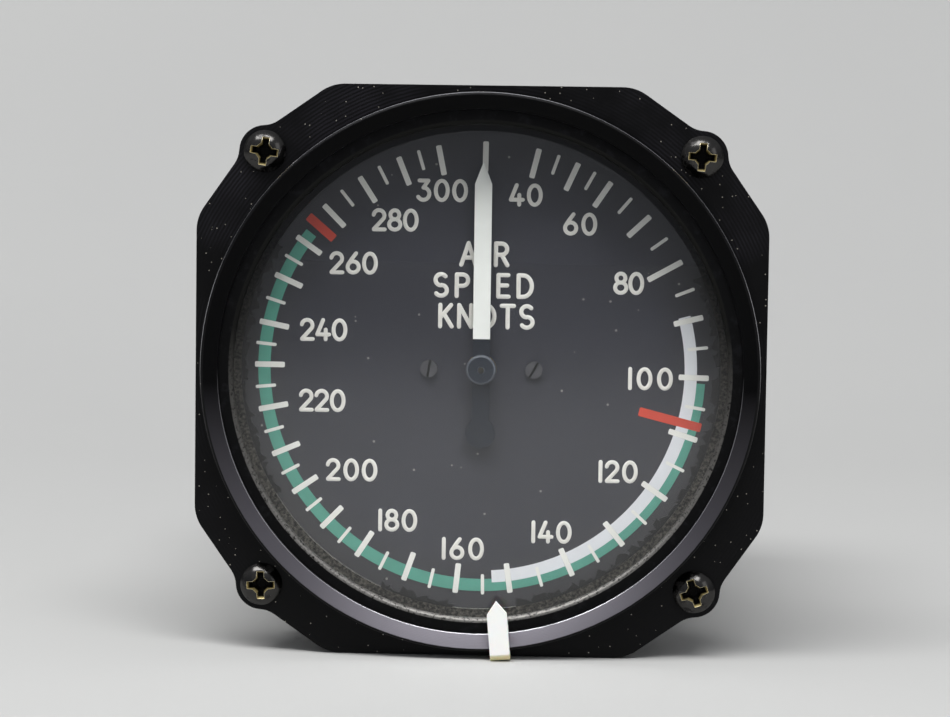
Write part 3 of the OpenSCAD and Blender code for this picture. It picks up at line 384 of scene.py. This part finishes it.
hubBlack = mattePaint("black_hub_lacquer", "#272c35", "#21252d", grainMm=0.14, roughness=0.45, shine=0.15)
# painted shade blackens the slots of the dial screws
screwBlack = mattePaint("black_screw_lacquer", "#4a494c", "#3e3d40", grainMm=0.1, roughness=0.45, shine=0.3,
                        slotShadeMm=(1.45, 1.6))
# painted highlight: a lighter lacquer on the bevels of the hub and the dial screws stands in for the light
# their edges catch
rimHighlightLacquer = mattePaint("black_lacquer_edge_highlight", "#585b61", "#484b51", grainMm=0.3, roughness=0.45, shine=0.2)
glassFinish = coverGlass()
# the pale dust shows towards the bottom and fades out towards the top
gasketRubber = dustyRubber("dusty_gasket_rubber", "#1d1b1a", "#747067", grainMm=0.45, levels=("Z", 26, -14))
sealRubber = dustyRubber("black_seal_rubber", "#131313", "#1e1d1c", grainMm=0.7)
sealant = dustyRubber("black_silicone_sealant", "#060606", "#0d0d0d", grainMm=0.8)
springSteelBlack = wornMetalAndPaintedLight("black_spring_steel", "#212123", "#0c0c0d", wearMm=1.4, share=0.55, roughness=0.4)
# painted highlight: the bright inner edge of the retaining ring shows only low down, where it faces up to the
# lamp; its ragged stretches are wear
springSteelEdgeWearAndSheen = wornMetalAndPaintedLight("bare_spring_steel_edge_and_low_sheen", "#7b7976", "#161615", wearMm=0.4, share=0.37,
                           roughness=0.5, levels=("Z", 6, -26))
staffSteel = workedMetal("dull_staff_steel", "#4d4b46", "#3c3a36", roughness=0.42, lineMm=0.2)
blackBrass = wornMetalAndPaintedLight("blackened_brass", "#403f3e", "#232222", wearMm=1.6, share=0.36, roughness=0.17)
bareBrass = wornMetalAndPaintedLight("bare_brass_wear", "#e9dfba", "#6d5f3c", wearMm=0.35, share=0.34, roughness=0.36)
# painted shade: the recess walls darken to near black deeper in; the brass near the rim is wear
recessBrassAndShade = wornMetalAndPaintedLight("recess_brass_and_deep_shade", "#d6c48a", "#080706", wearMm=0.4, share=0.22, roughness=0.42,
                       levels=("Y", -5.5, -6.2))
brass = workedMetal("lacquered_brass", "#cfae62", "#b8964c", roughness=0.3, lineMm=0.25)
steel = workedMetal("polished_steel", "#b9bcc0", "#9da1a6", roughness=0.25, lineMm=0.2)
bronze = workedMetal("pressed_bronze", "#b98f55", "#9d7542", roughness=0.33, lineMm=0.3)
bluedSteel = workedMetal("blued_spring_steel", "#44557c", "#39476b", roughness=0.28, lineMm=0.2)
nylon = bugPlastic()

finishes = {
    "case_shell rear_cover": anodised, "glass": glassFinish, "glass_gasket": gasketRubber,
    "cover_seal": sealRubber, "retaining_ring": springSteelBlack, "panel_screws cover_screws": blackBrass,
    "dial dial_stud": dialPaint, "scale_marks": scalePrint, "green_arc": greenPrint, "white_arc": whitePrint,
    "red_marks": redPrint, "dial_screws": screwBlack, "pointer_hub": hubBlack, "pointer": pointerBlack,
    "pointer_paint": pointerWhite, "speed_bug": nylon, "hairspring": bluedSteel,
    "staff_bushes capsule": bronze,
    "plate_screws post_screws bracket_screws sector_staff rocking_shaft": steel, "hand_staff": staffSteel,
    "dial_spacers front_plate rear_plate plate_pillars frame_posts hairspring_stud hairspring_collet": brass,
    "capsule_stem shaft_brackets sector_gear lift_lever drive_arm lift_post": brass,
}
for names, finish in finishes.items():
    for name in names.split():
        for part in nodes[name].material_slots:
            part.material = finish
print("finishes on", sum(len(names.split()) for names in finishes), "nodes")


# Case with its edges broken and rubbed, with painted highlight on the upper edges and painted sheen on the
# lower cone and its inner edge

caseEdges = {"flangeFront": 0.3, "flangeRear": 0.2, "ringOuter": 0.12, "ringInner": 0.1, "steps": 2,
             "outlineMm": 40.7, "holeMm": 2.6, "screwSpanMm": 62.87, "screwTopMm": 2.0, "ringMm": 39.956,
             "chamferMm": 40.306, "chamferDeepMm": 0.35, "boreMm": 37.856, "boreDeepMm": 1.3,
             "coneMm": (37.8, 40.0), "coneDeepMm": 1.35, "levelMm": 0.02, "roundMm": 0.06}
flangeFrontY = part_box("panel_screws")[0].y / mm + caseEdges["screwTopMm"]
screwAt = caseEdges["screwSpanMm"] / 2


def near(value, target):
    return abs(value - target) < caseEdges["levelMm"]


def onOutline(a, b, y):
    if not (near(a.y, y) and near(b.y, y)):
        return False
    beside = min(math.hypot(abs(p.x) - screwAt, abs(p.z) - screwAt) for p in (a, b))
    wide = min(math.hypot(p.x, p.z) for p in (a, b))
    return wide > caseEdges["outlineMm"] and beside > caseEdges["holeMm"]


def onRing(a, b, y, r):
    return all(near(p.y, y) and abs(math.hypot(p.x, p.z) - r) < caseEdges["roundMm"] for p in (a, b))


caseShell = mergedCopy("case_shell", "case_shell_finished")
caseFinishes = (anodised, anodisedEdgeWearAndSheen, innerEdgeWearAndSheen, coneLowSheen, ringEdgeWearAndSheen)
for finish in caseFinishes:
    caseShell.data.materials.append(finish)
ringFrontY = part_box("case_shell")[0].y / mm
coneIn, coneOut = caseEdges["coneMm"]
coneBackY = ringFrontY + caseEdges["coneDeepMm"]
# the cone faces take the painted low sheen
for face in caseShell.data.polygons:
    corners = [caseShell.data.vertices[i].co / mm for i in face.vertices]
    if all(coneIn < math.hypot(p.x, p.z) < coneOut and p.y < coneBackY for p in corners):
        face.material_index = caseFinishes.index(coneLowSheen)
chamferY = ringFrontY + caseEdges["chamferDeepMm"]
boreY = ringFrontY + caseEdges["boreDeepMm"]
for wanted, width, finish in (
    (lambda a, b: onOutline(a, b, flangeFrontY), "flangeFront", anodisedEdgeWearAndSheen),
    (lambda a, b: onOutline(a, b, 0.0), "flangeRear", anodisedEdgeWearAndSheen),
    (lambda a, b: onRing(a, b, ringFrontY, caseEdges["ringMm"]), "ringOuter", anodised),
    (lambda a, b: onRing(a, b, chamferY, caseEdges["chamferMm"]), "ringOuter", ringEdgeWearAndSheen),
    (lambda a, b: onRing(a, b, boreY, caseEdges["boreMm"]), "ringInner", innerEdgeWearAndSheen),
):
    selectEdges(caseShell, wanted)
    bpy.ops.mesh.bevel(offset=caseEdges[width] * mm, segments=caseEdges["steps"], affect="EDGES",
                       clamp_overlap=False, material=caseFinishes.index(finish))
    bpy.ops.object.mode_set(mode="OBJECT")
evenShade(caseShell)
standsFor(caseShell, "case", "anodised_aluminium", "case_shell")
print("case edges broken:", len(caseShell.data.polygons), "faces")


# Panel screws: blackened brass, rubbed bright around the cross recess
# the turns are each screw's side, level and the turn of its cross in degrees

screwLook = {"headMm": 3.05, "rimMm": 0.5, "topMm": 2.0, "rings": 10, "domeDeg": 88, "sides": 56,
             "shankMm": 1.5, "threadMm": 1.75, "depthMm": 0.3, "pitchMm": 0.6, "reachMm": 8.0,
             "armMm": 2.6, "armWideMm": 1.3, "armDeep": 2, "coreMm": 1.5, "coreSides": 8, "coreTurnDeg": 22.5,
             "coreDeep": 2.2, "deepMm": 1.35, "taper": 0.5, "wearMm": 0.28, "wearSteps": 2, "smoothDeg": 38,
             "turns": ((-1, 1, -8.5), (1, 1, -4.4), (-1, -1, 1.5), (1, -1, 18.0))}
helixSides = 32  # flats in one turn of a thread


def addHelix(name, rootMm, depthMm, pitchMm, lowMm, highMm):
    # one V of thread wound along Z and cut flat at both ends
    bpy.ops.object.select_all(action="DESELECT")
    bpy.ops.mesh.primitive_circle_add(vertices=4, radius=1, fill_type="NOTHING")
    piece = bpy.context.object
    piece.name = name
    clearChoice(piece, "VERT")
    # a square stood on its corner loses its inner corner, and a V is left
    for point in piece.data.vertices:
        point.select = point.co.x < -0.5
    bpy.ops.object.mode_set(mode="EDIT")
    bpy.ops.mesh.delete(type="VERT")
    bpy.ops.object.mode_set(mode="OBJECT")
    piece.scale = (depthMm * mm, pitchMm / 2 * mm, 1)
    piece.rotation_euler.x = math.radians(90)
    piece.location = (rootMm * mm, 0, (lowMm - pitchMm) * mm)
    keepPlace(piece)
    wind = piece.modifiers.new("wind", "SCREW")
    wind.axis = "Z"
    wind.steps = wind.render_steps = helixSides
    wind.screw_offset = pitchMm * mm
    wind.iterations = math.ceil((highMm - lowMm) / pitchMm) + 2
    activate(piece)
    bpy.ops.object.modifier_apply(modifier="wind")
    for height, way in ((lowMm, -1), (highMm, 1)):
        bpy.ops.object.mode_set(mode="EDIT")
        bpy.ops.mesh.select_all(action="SELECT")
        bpy.ops.mesh.remove_doubles(threshold=meshRules["strokeWeldMm"] * mm)
        bpy.ops.mesh.bisect(plane_co=(0, 0, height * mm), plane_no=(0, 0, way), use_fill=depthMm > 0,
                            clear_outer=True)
        bpy.ops.object.mode_set(mode="OBJECT")
    return piece


def cutAway(piece, cutter):
    cut = piece.modifiers.new("cut", "BOOLEAN")
    cut.operation = "DIFFERENCE"
    cut.solver = "EXACT"
    cut.material_mode = "TRANSFER"
    cut.object = cutter
    activate(piece)
    bpy.ops.object.modifier_apply(modifier="cut")
    bpy.data.objects.remove(cutter)


def taperedCutter(sides, size, deepMm, topMm, turnDeg):
    # a bar or round core that narrows towards its foot
    bpy.ops.object.select_all(action="DESELECT")
    if sides:
        bpy.ops.mesh.primitive_cylinder_add(vertices=sides, radius=1, depth=2)
    else:
        bpy.ops.mesh.primitive_cube_add(size=2)
    cutter = bpy.context.object
    cutter.scale = (size[0] * mm, size[1] * mm, deepMm / 2 * mm)
    cutter.location.z = (topMm - deepMm / 2) * mm
    cutter.rotation_euler.z = math.radians(turnDeg)
    keepPlace(cutter)
    clearChoice(cutter, "VERT")
    for point in cutter.data.vertices:
        point.select = point.co.z < (topMm - deepMm / 2) * mm
    for edge in cutter.data.edges:
        edge.select = all(cutter.data.vertices[i].select for i in edge.vertices)
    for face in cutter.data.polygons:
        face.select = all(cutter.data.vertices[i].select for i in face.vertices)
    bpy.ops.object.mode_set(mode="EDIT")
    bpy.ops.transform.resize(value=(screwLook["taper"], screwLook["taper"], 1))
    bpy.ops.object.mode_set(mode="OBJECT")
    cutter.data.materials.append(recessBrassAndShade)
    return cutter


def selectSeams(piece, finishA, finishB):
    # edges where two finishes meet
    pair = {piece.data.materials.find(finish.name) for finish in (finishA, finishB)}
    slots = {}
    for face in piece.data.polygons:
        for key in face.edge_keys:
            slots.setdefault(key, set()).add(face.material_index)
    clearChoice(piece, "EDGE")
    for edge in piece.data.edges:
        edge.select = slots.get(tuple(sorted(edge.vertices))) == pair
    bpy.ops.object.mode_set(mode="EDIT")


def addPanelScrew():
    look = screwLook
    depth = -flangeFrontY
    bpy.ops.object.select_all(action="DESELECT")
    bpy.ops.mesh.primitive_circle_add(vertices=look["sides"], radius=look["shankMm"] * mm, fill_type="NGON",
                                      location=(0, 0, -depth * mm))
    head = bpy.context.object
    keepPlace(head)
    bpy.ops.object.mode_set(mode="EDIT")
    bpy.ops.mesh.select_all(action="SELECT")
    rings = [(look["shankMm"], 0), (look["headMm"], 0), (look["headMm"], look["rimMm"])]
    crown = look["topMm"] - look["rimMm"]
    domeR = (look["headMm"] ** 2 + crown ** 2) / (2 * crown)
    for i in range(1, look["rings"] + 1):
        r = look["headMm"] * math.cos(math.radians(look["domeDeg"] * i / look["rings"]))
        rings.append((r, look["topMm"] - domeR + math.sqrt(domeR ** 2 - r ** 2)))
    lastR, lastZ = look["shankMm"], -depth
    for r, z in rings:
        bpy.ops.mesh.extrude_region_move(TRANSFORM_OT_translate={"value": (0, 0, (z - lastZ) * mm)})
        bpy.ops.transform.resize(value=(r / lastR, r / lastR, 1))
        lastR, lastZ = r, z
    faceOutward(head)
    for finish in (blackBrass, bareBrass):
        head.data.materials.append(finish)
    arm = (look["armMm"], look["armWideMm"] / 2)
    core = (look["coreMm"], look["coreMm"])
    cutTop = look["topMm"] + look["deepMm"] / 2
    for sides, size, share, turnDeg in (
        (0, arm, look["armDeep"], 0),
        (0, arm, look["armDeep"], 90),
        (look["coreSides"], core, look["coreDeep"], look["coreTurnDeg"]),
    ):
        cutAway(head, taperedCutter(sides, size, look["deepMm"] * share, cutTop, turnDeg))
    selectSeams(head, blackBrass, recessBrassAndShade)
    bpy.ops.mesh.bevel(offset=look["wearMm"] * mm, segments=look["wearSteps"], affect="EDGES",
                       clamp_overlap=True, material=head.data.materials.find(bareBrass.name))
    bpy.ops.object.mode_set(mode="OBJECT")
    thread = addHelix("thread", look["threadMm"] - look["depthMm"], look["depthMm"], look["pitchMm"],
                      -depth - look["reachMm"], -depth)
    thread.data.materials.append(blackBrass)
    activate(head)
    thread.select_set(True)
    bpy.ops.object.join()
    faceOutward(head)
    return head


screwModel = addPanelScrew()
for side, level, turnDeg in screwLook["turns"]:
    screw = screwModel.copy()
    screw.data = screwModel.data.copy()
    bpy.context.scene.collection.objects.link(screw)
    screw.name = "panel_screw_" + ("top" if level > 0 else "low") + ("_right" if side > 0 else "_left")
    screw.rotation_euler = (math.radians(90), 0, 0)
    screw.data.transform(Matrix.Rotation(math.radians(turnDeg), 4, "Z"))
    screw.location = (side * screwAt * mm, flangeFrontY * mm, level * screwAt * mm)
    keepPlace(screw)
    smoothByAngle(screw, screwLook["smoothDeg"])
    standsFor(screw, "case", "blackened_brass", "panel_screws")
bpy.data.objects.remove(screwModel)
print("panel screws: 4, each", len(screw.data.polygons), "faces")


# Retaining ring with its inner edge worn bright, and a painted highlight on the edge's lower part

ringLook = {"edgeMm": 0.7, "steps": 4, "edgeWearAndSheenMm": 0.1}
retainer = mergedCopy("retaining_ring", "retaining_ring_finished")
retainer.data.materials.append(springSteelBlack)
retainer.data.materials.append(springSteelEdgeWearAndSheen)
edgeWearAndSheenSlot = retainer.data.materials.find(springSteelEdgeWearAndSheen.name)
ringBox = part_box("retaining_ring")
retainerInner = min(math.hypot(p.co.x, p.co.z) for p in retainer.data.vertices) / mm
for face in retainer.data.polygons:
    corners = [retainer.data.vertices[i].co / mm for i in face.vertices]
    if all(math.hypot(p.x, p.z) < retainerInner + ringLook["edgeWearAndSheenMm"] for p in corners):
        face.material_index = edgeWearAndSheenSlot
selectEdges(retainer, lambda a, b: onRing(a, b, ringBox[0].y / mm, retainerInner))
bpy.ops.mesh.bevel(offset=ringLook["edgeMm"] * mm, segments=ringLook["steps"], affect="EDGES",
                   material=edgeWearAndSheenSlot)
bpy.ops.object.mode_set(mode="OBJECT")
evenShade(retainer)
standsFor(retainer, "case", "black_spring_steel", "retaining_ring")
print("retaining ring worn:", len(retainer.data.polygons), "faces")


# Ragged bead of sealant on the back of the glass

beadLook = {"outMm": 34.78, "inMm": 33.95, "roughMm": 0.62, "thickMm": 0.26, "sides": 420,
            "spans": ((66, 171), (186, 204), (238, 302)), "seed": 5, "cuts": 2, "evenness": 0.6,
            "ragged": 0.35, "smoothDeg": 60}
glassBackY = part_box("glass")[1].y / mm
bpy.ops.object.select_all(action="DESELECT")
bpy.ops.mesh.primitive_circle_add(vertices=beadLook["sides"], radius=beadLook["outMm"] * mm,
                                  fill_type="NOTHING", location=(0, glassBackY * mm, 0),
                                  rotation=(math.radians(90), 0, 0))
bead = bpy.context.object
bead.name = "sealant_bead"
keepPlace(bead)
bpy.ops.object.mode_set(mode="EDIT")
bpy.ops.mesh.select_all(action="SELECT")
inward = beadLook["inMm"] / beadLook["outMm"]
bpy.ops.mesh.extrude_region_move()
bpy.ops.transform.resize(value=(inward, 1, inward))
bpy.ops.transform.vertex_random(offset=beadLook["roughMm"] * mm, uniform=1.0, normal=0.0,
                                seed=beadLook["seed"])
bpy.ops.transform.resize(value=(1, 0, 1))
clearChoice(bead, "FACE")
for face in bead.data.polygons:
    clock = math.degrees(math.atan2(face.center.x, face.center.z)) % 360
    face.select = not any(first < clock < last for first, last in beadLook["spans"])
bpy.ops.object.mode_set(mode="EDIT")
bpy.ops.mesh.delete(type="FACE")
bpy.ops.mesh.select_all(action="SELECT")
bpy.ops.mesh.subdivide(number_cuts=beadLook["cuts"], smoothness=beadLook["evenness"],
                       fractal=beadLook["ragged"], seed=beadLook["seed"])
bpy.ops.transform.resize(value=(1, 0, 1))
bpy.ops.object.mode_set(mode="OBJECT")
swell = bead.modifiers.new("swell", "SOLIDIFY")
swell.thickness = beadLook["thickMm"] * mm
swell.offset = 0
activate(bead)
bpy.ops.object.modifier_apply(modifier="swell")
bead.location.y = beadLook["thickMm"] / 2 * mm
keepPlace(bead)
faceOutward(bead)
smoothByAngle(bead, beadLook["smoothDeg"])
bead.data.materials.append(sealant)
standsFor(bead, "case", "seal_rubber")
print("sealant bead:", len(bead.data.polygons), "faces")


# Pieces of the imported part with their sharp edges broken

softened = [
    {"node": "speed_bug", "body": "bug", "slot": "white_plastic", "edgeMm": 0.1, "finish": nylon,
     "rim": nylon},
    {"node": "pointer", "body": "hand", "slot": "pointer_black", "edgeMm": 0.07, "finish": pointerBlack,
     "rim": pointerBlack},
    {"node": "pointer_hub", "body": "hand", "slot": "black_steel", "edgeMm": 0.16, "finish": hubBlack,
     "rim": rimHighlightLacquer},
    {"node": "dial_screws", "body": "case", "slot": "black_steel", "edgeMm": 0.08, "finish": screwBlack,
     "rim": rimHighlightLacquer},
    {"node": "rear_cover", "body": "case", "slot": "anodised_aluminium", "edgeMm": 0.25, "finish": anodised,
     "rim": anodisedEdgeWearAndSheen},
]
rimSlot = 1  # the second finish of each piece
for plan in softened:
    piece = mergedCopy(plan["node"], plan["node"] + "_finished")
    piece.data.materials.append(plan["finish"])
    piece.data.materials.append(plan["rim"])
    clearChoice(piece, "EDGE")
    bpy.ops.object.mode_set(mode="EDIT")
    bpy.ops.mesh.edges_select_sharp(sharpness=math.radians(meshRules["sharpDeg"]))
    bpy.ops.mesh.bevel(offset=plan["edgeMm"] * mm, segments=2, affect="EDGES", clamp_overlap=True,
                       material=rimSlot)
    bpy.ops.object.mode_set(mode="OBJECT")
    evenShade(piece)
    standsFor(piece, plan["body"], plan["slot"], plan["node"])
print("edges broken on", len(softened), "more pieces")


# Pipe threads in the two ports

portLook = {"boreMm": 4.35, "depthMm": 0.42, "pitchMm": 0.94, "fromMm": 57.2, "toMm": 66.2,
            "atX": (0, 21.5), "smoothDeg": 30}
for i, atX in enumerate(portLook["atX"]):
    ridge = addHelix("port_thread_" + str(i + 1), portLook["boreMm"], -portLook["depthMm"],
                     portLook["pitchMm"], portLook["fromMm"], portLook["toMm"])
    ridge.rotation_euler.x = math.radians(-90)
    ridge.location.x = atX * mm
    keepPlace(ridge)
    faceOutward(ridge)
    smoothByAngle(ridge, portLook["smoothDeg"])
    ridge.data.materials.append(anodised)
    standsFor(ridge, "case", "anodised_aluminium")
print("port threads cut")


# Figures and legend on the dial, as round-ended strokes of paint

lettering = {"faceMm": 2.0, "riseMm": 0.05, "figureMm": 2.82, "legendMm": 3.15, "strokeMm": 0.58,
             "legendStrokeMm": 0.62, "bowSteps": 6, "bowDeg": 15, "capDegs": (30, 55, 75, 88), "roundness": 2,
             "joinMm": 0.001, "smoothDeg": 50}
# words, their middle in X and Z in mm, and the gap between signs as a share of the height
legend = [("AIR", 0.22, 16.87, 0.47), ("SPEED", 0.15, 12.27, 0.46), ("KNOTS", 0.63, 7.77, 0.34)]
figures = [("300", -6.07, 26.08, 0.33), ("280", -12.92, 21.67, 0.23), ("260", -18.94, 15.29, 0.27),
           ("240", -23.25, 5.43, 0.23), ("220", -23.35, -4.99, 0.23), ("200", -18.91, -15.19, 0.34),
           ("180", -12.01, -22.54, 0.32), ("160", -2.35, -26.58, 0.4), ("140", 10.67, -23.88, 0.33),
           ("120", 20.30, -14.77, 0.32), ("100", 24.79, -1.02, 0.44), ("80", 21.36, 12.92, 0.2),
           ("60", 14.13, 21.46, 0.36), ("40", 6.13, 25.59, 0.31)]


def bow(x, y, rx, ry, start, end):
    steps = max(lettering["bowSteps"], int(abs(end - start) / lettering["bowDeg"]))
    angles = [math.radians(start + (end - start) * i / steps) for i in range(steps + 1)]
    return [(x + rx * math.cos(a), y + ry * math.sin(a)) for a in angles]


# each sign is a width and its strokes, on a height of 1
signs = {
    "0": (0.62, [bow(0.31, 0.5, 0.31, 0.5, 0, 360)]),
    "1": (0.0, [[(0, 0), (0, 1)]]),
    "2": (0.58, [bow(0.28, 0.72, 0.28, 0.28, 172, -32) + [(0.02, 0.02)], [(0.02, 0), (0.58, 0)]]),
    "3": (0.56, [[(0.04, 1), (0.5, 1)], [(0.5, 1), (0.25, 0.63)],
                 bow(0.25, 0.315, 0.31, 0.315, 90, -150)]),
    "4": (0.62, [[(0.3, 1), (0.0, 0.25)], [(0.0, 0.25), (0.62, 0.25)], [(0.44, 0.5), (0.44, 0)]]),
    "6": (0.58, [[(0.43, 1), (0.22, 0.72)] + bow(0.29, 0.29, 0.29, 0.29, 150, 510)]),
    "8": (0.58, [bow(0.29, 0.765, 0.23, 0.235, 0, 360), bow(0.29, 0.27, 0.29, 0.27, 0, 360)]),
    "A": (0.66, [[(0, 0), (0.33, 1)], [(0.33, 1), (0.66, 0)], [(0.13, 0.33), (0.53, 0.33)]]),
    "I": (0.0, [[(0, 0), (0, 1)]]),
    "R": (0.54, [[(0, 0), (0, 1)],
                 [(0, 1), (0.26, 1)] + bow(0.26, 0.74, 0.26, 0.26, 90, -90)[1:] + [(0, 0.48)],
                 [(0.27, 0.48), (0.54, 0)]]),
    "S": (0.54, [bow(0.27, 0.74, 0.26, 0.26, 40, 265) + bow(0.27, 0.25, 0.27, 0.25, 85, -145)]),
    "P": (0.53, [[(0, 0), (0, 1)],
                 [(0, 1), (0.26, 1)] + bow(0.26, 0.735, 0.265, 0.265, 90, -90)[1:] + [(0, 0.47)]]),
    "E": (0.48, [[(0, 0), (0, 1)], [(0, 1), (0.46, 1)], [(0, 0.52), (0.41, 0.52)], [(0, 0), (0.48, 0)]]),
    "D": (0.62, [[(0, 0), (0, 1)], [(0, 1), (0.2, 1)] + bow(0.2, 0.5, 0.42, 0.5, 90, -90)[1:] + [(0, 0)]]),
    "K": (0.54, [[(0, 0), (0, 1)], [(0.5, 1), (0, 0.4)], [(0.17, 0.6), (0.54, 0)]]),
    "N": (0.56, [[(0, 0), (0, 1)], [(0, 1), (0.56, 0)], [(0.56, 0), (0.56, 1)]]),
    "O": (0.74, [bow(0.37, 0.5, 0.37, 0.5, 0, 360)]),
    "T": (0.56, [[(0, 1), (0.56, 1)], [(0.28, 1), (0.28, 0)]]),
}


def roundEnd(tip, inner, half):
    # points past the end of a stroke, each with the share of its width that is left
    span = math.dist(tip, inner)
    across = (tip[0] - inner[0]) / span * half
    along = (tip[1] - inner[1]) / span * half
    turns = [math.radians(degrees) for degrees in lettering["capDegs"]]
    return [(tip[0] + across * math.sin(t), tip[1] + along * math.sin(t), math.cos(t)) for t in turns]


def layStroke(curve, points, stroke):
    closed = math.dist(points[0], points[-1]) < lettering["joinMm"]
    marks = [(x, y, 1.0) for x, y in points]
    if closed:
        marks = marks[:-1]
    else:
        head = roundEnd(points[0], points[1], stroke / 2)
        tail = roundEnd(points[-1], points[-2], stroke / 2)
        marks = head[::-1] + marks + tail
    spline = curve.splines.new("POLY")
    spline.points.add(len(marks) - 1)
    spline.use_cyclic_u = closed
    for point, (x, y, size) in zip(spline.points, marks):
        point.co = (x * mm, 0, y * mm, 1)
        point.radius = size


def letter(name, lines, height, stroke):
    curve = bpy.data.curves.new(name, "CURVE")
    curve.dimensions = "3D"
    curve.bevel_depth = stroke / 2 * mm
    curve.bevel_resolution = lettering["roundness"]
    for text, atX, atZ, gap in lines:
        wide = sum(signs[c][0] for c in text) + gap * (len(text) - 1)
        x = atX - wide * height / 2
        for c in text:
            for strokePoints in signs[c][1]:
                laid = [(x + px * height, atZ + (py - 0.5) * height) for px, py in strokePoints]
                layStroke(curve, laid, stroke)
            x += (signs[c][0] + gap) * height
    piece = bpy.data.objects.new(name, curve)
    bpy.context.scene.collection.objects.link(piece)
    activate(piece)
    bpy.ops.object.convert(target="MESH")
    piece = bpy.context.object
    piece.scale.y = lettering["riseMm"] / (stroke / 2)   # pressed flat, so only a low swell of paint is left
    piece.location.y = lettering["faceMm"] * mm
    keepPlace(piece)
    bpy.ops.object.mode_set(mode="EDIT")
    bpy.ops.mesh.select_all(action="SELECT")
    bpy.ops.mesh.remove_doubles(threshold=meshRules["strokeWeldMm"] * mm)
    bpy.ops.mesh.normals_make_consistent(inside=False)
    bpy.ops.object.mode_set(mode="OBJECT")
    smoothByAngle(piece, lettering["smoothDeg"])
    piece.data.materials.clear()
    piece.data.materials.append(creamPrint)
    standsFor(piece, "case", "cream_print")
    return piece


figurePiece = letter("dial_figures", figures, lettering["figureMm"], lettering["strokeMm"])
legendPiece = letter("dial_legend", legend, lettering["legendMm"], lettering["legendStrokeMm"])
print("lettering:", len(figurePiece.data.polygons) + len(legendPiece.data.polygons), "faces")


# Floor with a rising back, and the studio, in metres where no unit is named

floorPlace = {"front": -7.0, "back": 0.5, "side": 4.0, "rise": 1.3, "bend": 0.3, "bendSteps": 16,
              "levelMm": 1, "tiltDeg": 1.66, "restMm": -41.29}


def palePaper():
    # seamless studio paper: pale, quite matte, very slightly uneven
    look = {"paper": "#b6b6b4", "dark": "#b2b2b1", "light": "#babab8", "cloudMm": 180}
    material, tree, shader, place = startMaterial("pale_seamless_paper", look["paper"], roughness=0.9)
    cloud = noise(tree, place, look["cloudMm"], detail=3)
    tree.links.new(blend(tree, cloud, look["dark"], look["light"]), shader.inputs["Base Color"])
    return material


bpy.ops.object.select_all(action="DESELECT")
bpy.ops.mesh.primitive_plane_add(size=1)
floor = bpy.context.object
floor.name = "floor"
depth = floorPlace["back"] - floorPlace["front"]
floor.scale = (2 * floorPlace["side"], depth, 1)
floor.location = (0, (floorPlace["back"] + floorPlace["front"]) / 2, 0)
keepPlace(floor)
selectEdges(floor, lambda a, b: min(a.y, b.y) > 0)
bpy.ops.mesh.extrude_region_move(TRANSFORM_OT_translate={"value": (0, 0, floorPlace["rise"])})
bpy.ops.object.mode_set(mode="OBJECT")
selectEdges(floor, lambda a, b: min(a.y, b.y) > 0 and max(abs(a.z), abs(b.z)) < floorPlace["levelMm"])
bpy.ops.mesh.bevel(offset=floorPlace["bend"], segments=floorPlace["bendSteps"], affect="EDGES")
bpy.ops.object.mode_set(mode="OBJECT")
floor.rotation_euler.x = math.radians(floorPlace["tiltDeg"])
floor.location.z = floorPlace["restMm"] * mm
keepPlace(floor)
smoothByAngle(floor, meshRules["smoothDeg"])
floor.data.materials.append(palePaper())

lamps = [
    {"name": "key", "at": (-0.1, -0.37, 0.8), "size": (1.05, 0.3), "watts": 10.7},
    {"name": "side", "at": (0.75, -0.5, 0.35), "size": (0.3, 0.5), "watts": 0.6},
]
for lamp in lamps:
    light = bpy.data.lights.new(lamp["name"], "AREA")
    light.shape = "RECTANGLE"
    light.size, light.size_y = lamp["size"]
    light.energy = lamp["watts"]
    holder = bpy.data.objects.new(lamp["name"], light)
    bpy.context.scene.collection.objects.link(holder)
    holder.location = lamp["at"]
    holder.rotation_euler = (-Vector(lamp["at"])).to_track_quat("-Z", "Y").to_euler()

sky = {"low": "#828489", "high": "#b4b6ba", "fromZ": 0.05, "toZ": 0.6}
world = bpy.data.worlds.new("studio")
bpy.context.scene.world = world
world.use_nodes = True
skyTree = world.node_tree
direction = addNode(skyTree, "ShaderNodeTexCoord").outputs["Generated"]
upward = addNode(skyTree, "ShaderNodeSeparateXYZ", {0: direction}).outputs["Z"]
skyColour = blend(skyTree, ramp(skyTree, upward, sky["fromZ"], sky["toZ"]), sky["low"], sky["high"])
skyTree.links.new(skyColour, skyTree.nodes["Background"].inputs["Color"])

view = {"aimMm": (-0.76, -4.8, 1.97), "distanceMm": 400, "upDeg": 4.1, "rightDeg": 1.9, "rollDeg": 0.8,
        "lensMm": 104.9, "sensorMm": 36, "nearM": 0.01}
aim = Vector(view["aimMm"]) * mm
up = math.radians(view["upDeg"])
right = math.radians(view["rightDeg"])
away = Vector((math.sin(right) * math.cos(up), -math.cos(right) * math.cos(up), math.sin(up)))
camera = bpy.data.objects.new("camera", bpy.data.cameras.new("camera"))
bpy.context.scene.collection.objects.link(camera)
camera.data.lens = view["lensMm"]
camera.data.sensor_width = view["sensorMm"]
camera.data.clip_start = view["nearM"]
facing = away.to_track_quat("Z", "Y").to_matrix().to_4x4()
roll = Matrix.Rotation(math.radians(view["rollDeg"]), 4, "Z")
camera.matrix_world = Matrix.Translation(aim + away * view["distanceMm"] * mm) @ (facing @ roll)
bpy.context.scene.camera = camera
bpy.context.scene.view_settings.view_transform = "Standard"
print("studio set")
